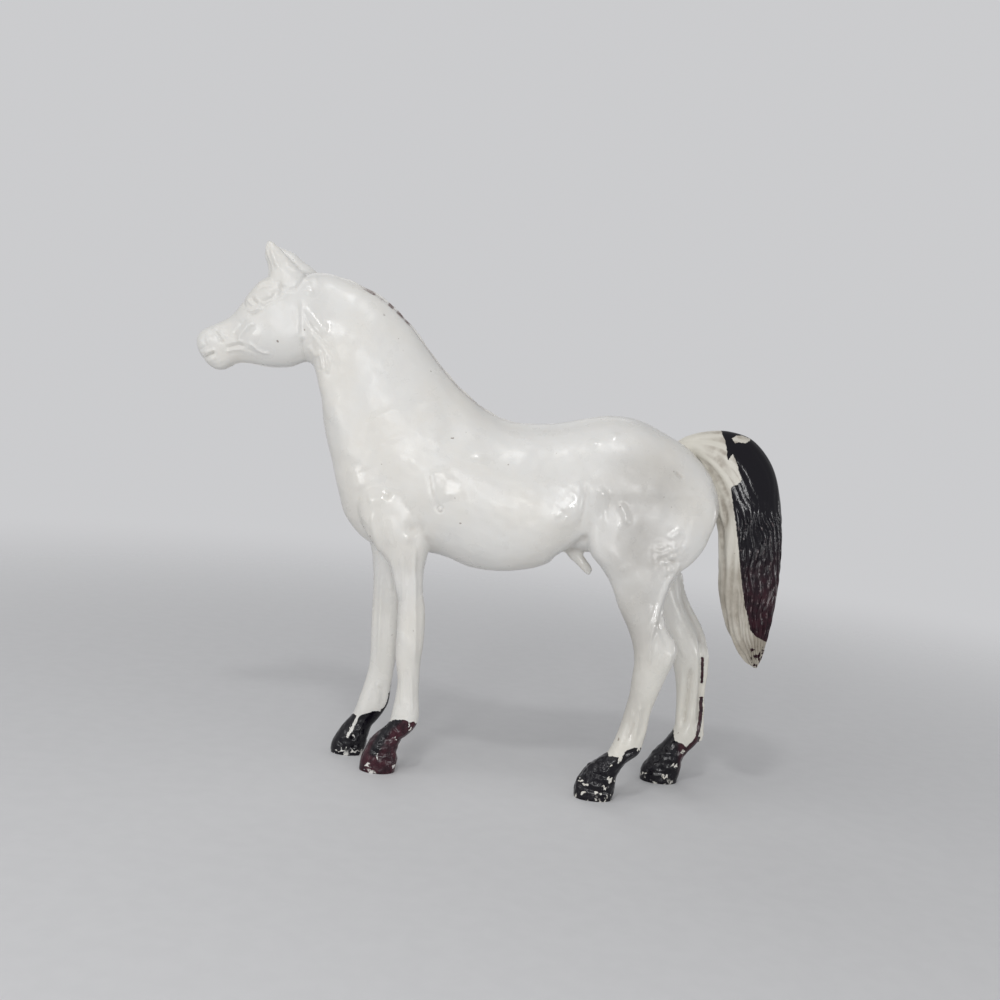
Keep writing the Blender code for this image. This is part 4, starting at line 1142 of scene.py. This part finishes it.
def model_mane(clay):
    """The mane, moulded on the far side only."""
    depth, place, distance = mane_depth(clay.seen_near, clay.co[:, 1])
    flat = np.stack((place, distance), axis=1) * MANE_STRAND_STRETCH
    wander = MANE_STRAND_WANDER * ripple(flat, "mane strands")
    strands = np.sin(2 * np.pi * (place * MANE_STRANDS + MANE_STRAND_LEAN * distance + wander))
    inner = smooth_step(depth, *MANE_EDGE) * smooth_step(clay.co[:, 1], *MANE_TOP_Y)
    clay.press(inner * (MANE_THICKNESS + MANE_STRAND_HEIGHT * strands))


def model_skin(clay):
    """Uneven skin, calmer on the head and the legs, and flat soles on the floor."""
    head = smooth_step(clay.co[:, 0], *CALM_HEAD_X)
    legs = smooth_step(clay.co[:, 2], *CALM_LEGS_Z)
    swell = SWELL_HEIGHT * ripple(clay.co, "swell") + GRAIN_HEIGHT * ripple(clay.co, "grain")
    clay.press(swell * (1.0 - CALM_HEAD * head) * (1.0 - CALM_LEGS * legs))
    clay.smooth(1)
    sole = clay.co[:, 2] < SOLE_REACH
    clay.co[sole, 2] = 0.0


def store_wear_and_shade(clay):
    """Stores where the skin is hollow or polished, and where its colour is darkened as painted shade, for its
    material.
    """
    even = clay.co
    for _ in range(WEAR_ROUNDS):
        even = clay.around(even)
    sink = np.sum((even - clay.co) * clay.normal, axis=1)
    rubbed = smooth_step(sink, *RUBBED_RIDGE) * RIDGE_GLOSS
    polished = closeness(clay.seen_near, POLISHED, POLISHED_EDGE)
    # how far the skin sinks into a hollow; the material darkens these hollows as dirt and painted shade
    store_values(clay.mesh, "recess", smooth_step(sink, *HOLLOW))
    store_values(clay.mesh, "gloss", np.maximum(rubbed, polished))
    # painted shade: places whose colour is darkened
    store_values(clay.mesh, "painted_shade", closeness(clay.seen_near, SHADED_PLACES, SHADED_PLACE_EDGE))


def carve(clay):
    """All the relief of the body."""
    clay.look()
    groove_middle(clay)
    model_relief(clay)
    model_gate(clay)
    for step in (model_mane, model_skin, store_wear_and_shade):
        clay.look()
        step(clay)


def half_of(clay, name, side):
    """One half of the body, cut at the seam and closed there with a rounded rim, and the seam's ring."""
    net = bmesh.new()
    net.from_mesh(clay.mesh)
    for place, clear in ((side * RIM_WIDTH, False), (0.0, True)):
        geometry = net.verts[:] + net.edges[:] + net.faces[:]
        bmesh.ops.bisect_plane(
            net, geom=geometry, plane_co=(0.0, place, 0.0), plane_no=(0.0, side, 0.0), clear_inner=clear,
        )
    net.normal_update()
    rim = [edge for edge in net.edges if edge.is_boundary]
    moves = {}
    for vertex in {vertex for edge in rim for vertex in edge.verts}:
        away = Vector((vertex.normal.x, 0.0, vertex.normal.z))
        if away.length > RIM_LEAST_NORMAL:
            moves[vertex] = away.normalized() * RIM_ROUNDING
    loop = longest_ring(rim)
    bmesh.ops.triangle_fill(net, use_beauty=True, edges=rim)
    for vertex, move in moves.items():
        vertex.co -= move
    for edge in rim:
        edge.smooth = False
    bmesh.ops.recalc_face_normals(net, faces=net.faces)
    mesh = bpy.data.meshes.new(name)
    net.to_mesh(mesh)
    net.free()
    return mesh, loop


def longest_ring(rim):
    """The longest closed ring among the rim's edges, as (x, z) places in order."""
    left = dict.fromkeys(rim)
    rings = []
    while left:
        edge, _ = left.popitem()
        start, vertex = edge.verts
        ring = [start, vertex]
        while True:
            following = [other for other in vertex.link_edges if other in left]
            if not following:
                break
            del left[following[0]]
            vertex = following[0].other_vert(vertex)
            ring.append(vertex)
        rings.append(ring[:-1] if ring[-1] == ring[0] else ring)
    return np.array([(vertex.co.x, vertex.co.z) for vertex in max(rings, key=len)])


def even_ring(ring):
    """The ring smoothed and cut into even steps."""
    for _ in range(FLASH_ROUNDS):
        ring = (np.roll(ring, 1, axis=0) + ring * 2 + np.roll(ring, -1, axis=0)) / 4
    step = np.linalg.norm(np.roll(ring, -1, axis=0) - ring, axis=1)
    run = np.concatenate(([0.0], np.cumsum(step)))
    even = np.arange(0.0, run[-1], FLASH_STEP)
    closed = np.vstack((ring, ring[:1]))
    return np.stack([np.interp(even, run, closed[:, k]) for k in range(2)], axis=1)


def flash_height(ring):
    """How far the flash stands out at each place of the ring, most at the crest and under the jaw."""
    seen = to_photo(np.stack((ring[:, 0], np.zeros(len(ring)), ring[:, 1]), axis=1))
    strength = FLASH_ALL_ROUND
    for path, height in ((CREST, FLASH_AT_CREST), (JAW, FLASH_AT_JAW)):
        distance, _ = along_path(seen, path)
        strength = strength + height * np.exp(-(distance / FLASH_SPREAD) ** 2)
    noise = ripple(ring, "flash") + FLASH_FINE * ripple(ring, "fine flash")
    return np.clip(strength * (1.0 + FLASH_UNEVEN * noise), 0.0, FLASH_MOST) + FLASH_LEAST


def flash_mesh(ring):
    """The thin fin of plastic that squeezed out along the seam."""
    ring = even_ring(ring)
    forward = (np.roll(ring, -FLASH_STEPS_FOR_DIRECTION, axis=0)
               - np.roll(ring, FLASH_STEPS_FOR_DIRECTION, axis=0))
    outward = np.stack((forward[:, 1], -forward[:, 0]), axis=1)
    outward /= np.linalg.norm(outward, axis=1, keepdims=True)
    area = 0.5 * np.sum(ring[:, 0] * np.roll(ring[:, 1], -1) - np.roll(ring[:, 0], -1) * ring[:, 1])
    if area < 0:
        outward = -outward
    inner = ring - outward * FLASH_ROOT
    outer = ring + outward * flash_height(ring)[:, None]
    root_y, edge_y = FLASH_HALF_THICKNESS, FLASH_HALF_THICKNESS * FLASH_TAPER
    lines = []
    for places, y in ((inner, -root_y), (outer, -edge_y), (outer, edge_y), (inner, root_y)):
        lines.append(np.stack((places[:, 0], np.full(len(places), y), places[:, 1]), axis=1))
    points = np.stack(lines, axis=1).reshape(-1, 3)
    count, sides = len(ring), len(lines)
    faces = []
    for n in range(count):
        after = (n + 1) % count
        for k in range(sides):
            k_after = (k + 1) % sides
            faces.append((n * sides + k, after * sides + k, after * sides + k_after, n * sides + k_after))
    return closed_mesh("seam_flash", points, faces)


def hoof_paint(points, seen):
    """Depth in mm inside the paint of the legs, negative outside it and in its chips."""
    y = points[:, 1]
    paint = np.full(len(points), FAR_OUTSIDE)
    for side, outline in PAINT_OUTLINES:
        depth = inside(seen, outline)
        paint = np.where(y * side > 0.0, np.maximum(paint, depth), paint)
    ragged = np.stack((ripple(points, "chips across"), ripple(points, "chips up")), axis=1)
    for side in (LEFT, RIGHT):
        chips = spots(seen + CHIP_RAGGED * ragged, [row[1:] for row in PAINT_CHIPS if row[0] == side])
        paint = np.where(y * side > 0.0, np.minimum(paint, -chips), paint)
    return paint


def crest_traces(seen, y):
    """How dark the traces of the mane's paint are in the seam along the crest."""
    crest, run = along_path(seen, CREST)
    flat = np.stack((run, np.zeros(len(run))), axis=1) * TRACE_STRETCH
    dashes = smooth_step(ripple(flat, "crest traces"), *TRACE_DASHES)
    strong = smooth_step(crest, *STRONG_WIDTH) * between(run, *STRONG_TRACE) * dashes
    faint = FAINT_STRENGTH * smooth_step(crest, *FAINT_WIDTH) * between(run, *FAINT_TRACE)
    return (strong + faint) * (y > TRACE_Y[0]) * (y < TRACE_Y[1])


def maroon_share(points, seen):
    """How far the paint is maroon instead of black."""
    x, y, z = points.T
    black, _ = along_path(seen, BLACK_FRONT)
    fore = (x < 0.0) * smooth_step(-y, *NEAR_SIDE_Y) * smooth_step(black, *BLACK_FRONT_WIDTH)
    hind = smooth_step(seen[:, 0], *BROWN_FROM_X) * smooth_step(y, *FAR_LEG_Y)
    return np.maximum(np.maximum(fore, HIND_MAROON * hind), MANE_MAROON * (z > MANE_ABOVE_Z))


def paint_body(mesh):
    """Stores where the body is painted, stained, worn, maroon or ivory, for its material."""
    points = mesh_points(mesh)
    x, y, z = points.T
    seen = to_photo(points)
    mane, _, _ = mane_depth(to_photo(near_side(points)), y)
    paint = np.maximum(hoof_paint(points, seen), np.minimum(mane, y - MANE_PAINT_Y))
    store_values(mesh, "paint", paint)
    store_values(mesh, "stain", crest_traces(seen, y))
    store_values(mesh, "worn", smooth_step(z, *WORN_Z))
    store_values(mesh, "maroon", maroon_share(points, seen))
    store_values(mesh, "ivory", smooth_step(z, *IVORY_Z) * blend(smooth_step(x, *IVORY_X), IVORY_LEGS))


def round_share(grid):
    """Share of the way from the front edge to the rear edge round each ring, the same on both sides."""
    count, sides = grid.shape[:2]
    step = np.linalg.norm(np.roll(grid, -1, axis=1) - grid, axis=2)
    around = np.concatenate((np.zeros((count, 1)), np.cumsum(step[:, :sides // 2], axis=1)), axis=1)
    around /= around[:, -1:]
    return np.concatenate((around, around[:, 1:-1][:, ::-1]), axis=1)


def outward_normals(grid):
    """The direction out of the loft at each point of its grid."""
    normal = np.cross(np.gradient(grid, axis=0), np.roll(grid, -1, axis=1) - np.roll(grid, 1, axis=1))
    normal /= np.linalg.norm(normal, axis=2, keepdims=True)
    outward = np.sum(normal * (grid - grid.mean(axis=1)[:, None, :]), axis=2)
    return normal * np.sign(np.median(outward))


def tail_strands(grid, run):
    """Height of the strands and folds at each point of the tail's grid in mm, and how far each point lies
    on a coarse ridge and in a furrow.
    """
    shape = grid.shape[:2]
    share = round_share(grid)
    along = np.repeat(run[:, None], shape[1], axis=1)
    on_side = np.sign(np.sin(np.linspace(0, 2 * np.pi, shape[1], endpoint=False)))
    flat = np.stack((share, along, np.broadcast_to(on_side, shape)), axis=2).reshape(-1, 3) * TAIL_STRETCH
    wander = ripple(flat, "wandering").reshape(shape)
    shorter = ripple(flat * SHORT_STRETCH, "short wandering").reshape(shape)
    broken = ripple(flat * BREAK_STRETCH, "broken strands").reshape(shape)
    folds = ripple(flat * FOLD_STRETCH, "folds").reshape(shape)
    lower = smooth_step(along, *LOWER_TAIL)
    coarse = smooth_step(grid[:, :, 2], *COARSE_Z)
    front = smooth_step(share, *TAIL_FRONT)
    combed = (1.0 - FRONT_SMOOTH * front) * smooth_step(along, *COMBED_FROM)
    phase = (TAIL_STRANDS * share + blend(lower, STRAND_WANDER) * wander
             + blend(lower, STRAND_SHORT_WANDER) * shorter)
    ridge = np.abs(np.sin(np.pi * phase)) ** STRAND_SHARPNESS
    breaks = 1.0 + STRAND_BREAKS * broken * coarse
    height = blend(coarse, STRAND_HEIGHT) * (ridge - STRAND_MIDDLE) * breaks * combed
    height += blend(front, FOLD_HEIGHT) * blend(coarse, FOLDS_COARSE) * folds
    height *= smooth_step(along, *TAIL_ROOT) * smooth_step(run[-1] - along, *TAIL_END)
    furrow = smooth_step(ridge, *STRAND_FURROW) * combed
    furrow += np.maximum(front, 1.0 - combed) * smooth_step(folds, *FOLD_FURROW)
    return height, ridge * coarse, np.clip(furrow, 0.0, 1.0)


def tail_paint(points):
    """Depth in mm inside the tail's paint, which has a chip near the top and ends in flecks."""
    seen = to_photo(near_side(points))
    paint = np.minimum(inside(seen, TAIL_PAINT), -inside(seen, TAIL_CHIP))
    flecks = ripple(points, "flecks") + TIP_FINE_FLECKS * ripple(points, "fine flecks")
    tip = smooth_step(seen[:, 1], *TIP_ROWS) * smooth_step(seen[:, 0], *TIP_COLUMNS)
    left = TIP_BARE + TIP_FLECKS * flecks * tip + NO_FLECKS * (1.0 - tip)
    return np.maximum(paint - TIP_LOSS * tip, left)


def make_tail():
    """The tail with its strands, as a mesh in mm that holds the values its material needs."""
    rows = [(*ring[:2], 0.0, ring[2], MID_LEVEL, LIMB_BOXINESS) for ring in TAIL_RINGS]
    grid = ring_grid(rows, TAIL_RINGS_PER_STEP, TAIL_SIDES)
    middle = grid.mean(axis=1)
    run = np.concatenate(([0.0], np.cumsum(np.linalg.norm(np.diff(middle, axis=0), axis=1))))
    height, ridge, furrow = tail_strands(grid, run)
    mesh = grid_mesh("painted_tail", grid + outward_normals(grid) * height[:, :, None])
    # the mesh has one more point at each end than the grid
    ends = np.zeros(2)
    along = np.concatenate((np.repeat(run, grid.shape[1]), ends + run[-1]))
    furrow = np.concatenate((furrow.ravel(), ends))
    store_values(mesh, "paint", tail_paint(mesh_points(mesh)))
    store_values(mesh, "ridge", np.concatenate((ridge.ravel(), ends)))
    store_values(mesh, "maroon", smooth_step(along, *TAIL_MAROON))
    # the material darkens the furrows in colour, as dirt and painted shade
    store_values(mesh, "recess", furrow * smooth_step(along, *FURROWS_FROM))
    return mesh


class Shading:
    """Builds one material's nodes in a few words."""

    # numbers of the mix node's two values and of its result, for colours and for numbers
    MIX_SOCKETS = {"RGBA": (6, 7, 2), "FLOAT": (2, 3, 0)}

    def __init__(self, name):
        self.material = bpy.data.materials.new(name)
        self.material.use_nodes = True
        self.nodes = self.material.node_tree.nodes
        self.links = self.material.node_tree.links
        self.shader = self.nodes["Principled BSDF"]
        self.place = self.nodes.new("ShaderNodeTexCoord").outputs["Object"]

    def feed(self, socket, value):
        """Links a socket to another one, or sets it to a colour or a number."""
        if isinstance(value, bpy.types.NodeSocket):
            self.links.new(value, socket)
        elif socket.type == "RGBA":
            socket.default_value = (*value, 1.0)
        else:
            socket.default_value = value

    def surface(self, inputs):
        """Feeds the named inputs of the shader and gives the finished material."""
        for name, value in inputs.items():
            self.feed(self.shader.inputs[name], value)
        return self.material

    def value(self, name):
        """A value that is stored in the mesh."""
        node = self.nodes.new("ShaderNodeAttribute")
        node.attribute_name = name
        return node.outputs["Fac"]

    def noise(self, size_mm, detail, roughness):
        node = self.nodes.new("ShaderNodeTexNoise")
        self.links.new(self.place, node.inputs["Vector"])
        node.inputs["Scale"].default_value = 1.0 / MM / size_mm
        node.inputs["Detail"].default_value = detail
        node.inputs["Roughness"].default_value = roughness
        return node.outputs["Fac"]

    def patches(self, name):
        """Soft patches of noise, as the table of that name says."""
        size_mm, edge, strengths, detail, roughness = PATCHES[name]
        return self.span(self.noise(size_mm, detail, roughness), edge, strengths)

    def math(self, operation, *values):
        node = self.nodes.new("ShaderNodeMath")
        node.operation = operation
        for socket, value in zip(node.inputs, values):
            self.feed(socket, value)
        return node.outputs[0]

    def times(self, first, second):
        return self.math("MULTIPLY", first, second)

    def span(self, value, edge, strengths=(0.0, 1.0), kind="SMOOTHSTEP"):
        """Turns the values at the two ends of the edge into the two strengths."""
        node = self.nodes.new("ShaderNodeMapRange")
        node.interpolation_type = kind
        numbers = zip(("From Min", "From Max", "To Min", "To Max"), (*edge, *strengths))
        for name, number in (*numbers, ("Value", value)):
            self.feed(node.inputs[name], number)
        return node.outputs["Result"]

    def mix(self, share, first, second, kind="RGBA"):
        node = self.nodes.new("ShaderNodeMix")
        node.data_type = kind
        at_first, at_second, at_result = self.MIX_SOCKETS[kind]
        self.feed(node.inputs["Factor"], share)
        self.feed(node.inputs[at_first], first)
        self.feed(node.inputs[at_second], second)
        return node.outputs[at_result]

    def bump(self, height, depth_mm, normal=None):
        """The normal with a height on it, and with those of the given normal."""
        node = self.nodes.new("ShaderNodeBump")
        node.inputs["Strength"].default_value = 1.0
        node.inputs["Distance"].default_value = depth_mm * MM
        self.links.new(height, node.inputs["Height"])
        if normal is not None:
            self.links.new(normal, node.inputs["Normal"])
        return node.outputs["Normal"]

    def bumps(self, layers):
        """The normal with layers of fine unevenness on it."""
        normal = None
        for depth_mm, *noise in layers:
            normal = self.bump(self.noise(*noise), depth_mm, normal)
        return normal


def plastic(shading, ivory_share, dirt_and_shade):
    """Colour of the bare plastic: warm white and ivory patches, places darkened as painted shade, dirt and
    painted shade in the recesses, and a few specks.
    """
    white = shading.mix(shading.patches("warm white"), WHITE, WARM_WHITE)
    ivory = shading.mix(shading.patches("pale ivory"), IVORY, PALE_IVORY)
    specks = shading.times(shading.patches("specks"), shading.patches("speckled places"))
    bare = shading.mix(ivory_share, white, ivory)
    for share, colour in (
        (shading.patches("smudges"), SMUDGE),
        # painted shade: haunch, thigh and gaskin darkened in colour
        (shading.times(shading.value("painted_shade"), shading.patches("painted_shade_patches")), PAINTED_SHADE_GREY),
        # dirt and painted shade: the recesses are darkened in colour
        (shading.times(shading.value("recess"), shading.patches(dirt_and_shade)), HOLLOW_DIRT_AND_SHADE),
        (shading.times(specks, SPECK_STRENGTH), SPECK),
    ):
        bare = shading.mix(share, bare, colour)
    return bare


def enamel(shading, maroon):
    """Colour of the dark paint."""
    return shading.mix(shading.times(maroon, shading.patches("maroon")), BLACK_ENAMEL, MAROON_ENAMEL)


def paint_cover(shading):
    """1 where paint lies, with the ragged edge that brushed paint has."""
    ragged = shading.math("MULTIPLY_ADD", shading.noise(*RAGGED_NOISE), RAGGED_EDGE, -RAGGED_EDGE / 2)
    return shading.span(shading.math("ADD", shading.value("paint"), ragged), PAINT_RIM)


def body_material():
    """White plastic with painted hooves and mane, and traces of paint in the seam."""
    shading = Shading("white_body_plastic")
    bare = plastic(shading, shading.times(shading.value("ivory"), LEG_IVORY), "dirt_and_shade")
    trace = shading.times(shading.value("stain"), shading.patches("traces"))
    bare = shading.mix(trace, bare, SEAM_TRACE)
    loss = shading.math("MAXIMUM", shading.times(shading.patches("chips"), shading.value("worn")),
                        shading.times(shading.patches("scattered chips"), SCATTER_STRENGTH))
    painted = shading.times(paint_cover(shading), shading.math("SUBTRACT", 1.0, loss))
    gloss = shading.span(shading.value("gloss"), WHOLE, POLISH, "LINEAR")
    bare_roughness = shading.math("ADD", shading.patches("plastic roughness"), gloss)
    uneven = shading.math("MULTIPLY_ADD", shading.noise(*THICKNESS_NOISE), *THICKNESS_UNEVEN)
    relief = shading.times(painted, uneven)
    return shading.surface({
        "Base Color": shading.mix(painted, bare, enamel(shading, shading.value("maroon"))),
        "Roughness": shading.mix(painted, bare_roughness, shading.patches("paint roughness"), "FLOAT"),
        "IOR": 1.5,
        "Specular IOR Level": shading.span(painted, WHOLE, SPECULAR),
        "Subsurface Weight": 0.08,
        "Subsurface Radius": (1.0, 0.85, 0.7),
        "Subsurface Scale": 0.8 * MM,
        "Normal": shading.bump(relief, PAINT_HEIGHT, shading.bumps(BODY_BUMPS)),
    })


def tail_material():
    """Ivory plastic, darker towards the tip, under black paint that turns maroon, with ridge tops lighter as
    wear and as painted highlight.
    """
    shading = Shading("painted_tail_plastic")
    maroon = shading.value("maroon")
    # the bare plastic of the tail grows darker towards its tip, following the maroon
    darker_tip = shading.times(shading.patches("darker_tip"), shading.span(maroon, DARKER_TIP_EDGE, DARKER_TIP_STRENGTH))
    bare = shading.mix(darker_tip, plastic(shading, 1.0, "tail_dirt_and_shade"), TAIL_DARKER_TIP_COLOUR)
    painted = paint_cover(shading)
    # the ridge tops are lightened in colour, partly as wear and partly as painted highlight
    worn_and_glint_tips = shading.times(shading.span(shading.value("ridge"), WORN_AND_GLINT_RIDGE), shading.patches("worn and glinting strands"))
    fresh = enamel(shading, shading.times(maroon, TAIL_MAROON_STRENGTH))
    paint = shading.mix(shading.times(worn_and_glint_tips, WORN_AND_GLINT_STRENGTH), fresh, WORN_AND_GLINT_TIP)
    dull_plastic = shading.span(painted, WHOLE, BARE_TAIL)
    return shading.surface({
        "Base Color": shading.mix(painted, bare, paint),
        "Roughness": shading.math("ADD", shading.patches("tail roughness"), dull_plastic),
        "IOR": 1.33,
        "Normal": shading.bump(painted, TAIL_PAINT_HEIGHT, shading.bumps(TAIL_BUMPS)),
    })


def add_piece(mesh, node, material):
    """Turns a mesh in mm into a piece of the figure."""
    mesh.transform(Matrix.Scale(MM, 4))
    mesh.polygons.foreach_set("use_smooth", [True] * len(mesh.polygons))
    piece = bpy.data.objects.new(mesh.name, mesh)
    bpy.context.scene.collection.objects.link(piece)
    mesh.materials.append(material)
    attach(piece, "root")
    if node:
        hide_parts(node)
    return piece


def floor_material():
    """A pale floor that fades into its surroundings away from the figure."""
    shading = Shading("pale_floor")
    material = shading.surface({
        "Base Color": shading.mix(shading.patches("floor"), *FLOOR_COLOURS),
        "Roughness": 0.9,
        "Specular IOR Level": 0.1,
    })
    reach = shading.nodes.new("ShaderNodeVectorMath")
    reach.operation = "LENGTH"
    clear = shading.nodes.new("ShaderNodeBsdfTransparent")
    fading = shading.nodes.new("ShaderNodeMixShader")
    shading.feed(reach.inputs[0], shading.place)
    shading.feed(fading.inputs[0], shading.span(reach.outputs["Value"], FLOOR_FADE))
    shading.feed(fading.inputs[1], shading.shader.outputs[0])
    shading.feed(fading.inputs[2], clear.outputs[0])
    shading.feed(shading.nodes["Material Output"].inputs["Surface"], fading.outputs[0])
    return material


# The figure
clay = body_clay()
carve(clay)
left_mesh, seam_ring = half_of(clay, "left_half_shell", LEFT)
right_mesh, _ = half_of(clay, "right_half_shell", RIGHT)
white_plastic = body_material()
for mesh, node in (
    (left_mesh, "left_body_half"), (right_mesh, "right_body_half"), (flash_mesh(seam_ring), None),
):
    paint_body(mesh)
    add_piece(mesh, node, white_plastic)
add_piece(make_tail(), "tail", tail_material())

# Floor
floor_mesh = bpy.data.meshes.new("floor")
floor_net = bmesh.new()
bmesh.ops.create_circle(floor_net, cap_ends=True, segments=FLOOR_SIDES, radius=FLOOR_REACH)
floor_net.to_mesh(floor_mesh)
floor_net.free()
floor_mesh.materials.append(floor_material())
floor = bpy.data.objects.new("floor", floor_mesh)
bpy.context.scene.collection.objects.link(floor)

# Camera
camera_data = bpy.data.cameras.new("camera")
camera_data.sensor_width = SENSOR_WIDTH
camera_data.lens = SENSOR_WIDTH * FOCAL_PX / FRAME_PX
camera_data.clip_start, camera_data.clip_end = CLIP_METRES
camera = bpy.data.objects.new("camera", camera_data)
bpy.context.scene.collection.objects.link(camera)
level_right = Vector((1.0, 0.0, 0.0))
level_up = Vector((0.0, math.sin(CAMERA_RISE), math.cos(CAMERA_RISE)))
backward = Vector((0.0, -math.cos(CAMERA_RISE), math.sin(CAMERA_RISE)))
right = level_right * math.cos(CAMERA_ROLL) + level_up * math.sin(CAMERA_ROLL)
up = level_up * math.cos(CAMERA_ROLL) - level_right * math.sin(CAMERA_ROLL)
turned = Matrix((right, up, backward)).transposed()
place = (Vector(AIM) + backward * CAMERA_DISTANCE) * MM
camera.matrix_world = Matrix.Translation(place) @ turned.to_4x4()
bpy.context.scene.camera = camera


# Lamps
for name, (place, width, height, power) in LAMPS.items():
    lamp_data = bpy.data.lights.new(name, "AREA")
    lamp_data.shape = "ELLIPSE"
    lamp_data.size = width
    lamp_data.size_y = height
    lamp_data.energy = power
    lamp = bpy.data.objects.new(name, lamp_data)
    lamp.location = place
    lamp.rotation_mode = "QUATERNION"
    lamp.rotation_quaternion = (Vector(place) - Vector(LAMP_AIM)).to_track_quat("Z", "Y")
    bpy.context.scene.collection.objects.link(lamp)

# Surroundings: a soft light from all round, seen as a plain pale colour
world = bpy.data.worlds.new("world")
bpy.context.scene.world = world
world.use_nodes = True
nodes = world.node_tree.nodes
links = world.node_tree.links
light = nodes["Background"]
shown = nodes.new("ShaderNodeBackground")
for background in (light, shown):
    background.inputs["Color"].default_value = (*PALE, 1.0)
light.inputs["Strength"].default_value = WORLD_STRENGTH
rays = nodes.new("ShaderNodeLightPath")
shows_pale = rays.outputs["Is Camera Ray"]
for kind in ("Is Glossy Ray", "Is Transmission Ray"):
    either = nodes.new("ShaderNodeMath")
    either.operation = "MAXIMUM"
    links.new(shows_pale, either.inputs[0])
    links.new(rays.outputs[kind], either.inputs[1])
    shows_pale = either.outputs[0]
both = nodes.new("ShaderNodeMixShader")
for number, source in enumerate((shows_pale, light.outputs[0], shown.outputs[0])):
    links.new(source, both.inputs[number])
links.new(both.outputs[0], nodes["World Output"].inputs["Surface"])
bpy.context.scene.view_settings.view_transform = "Standard"
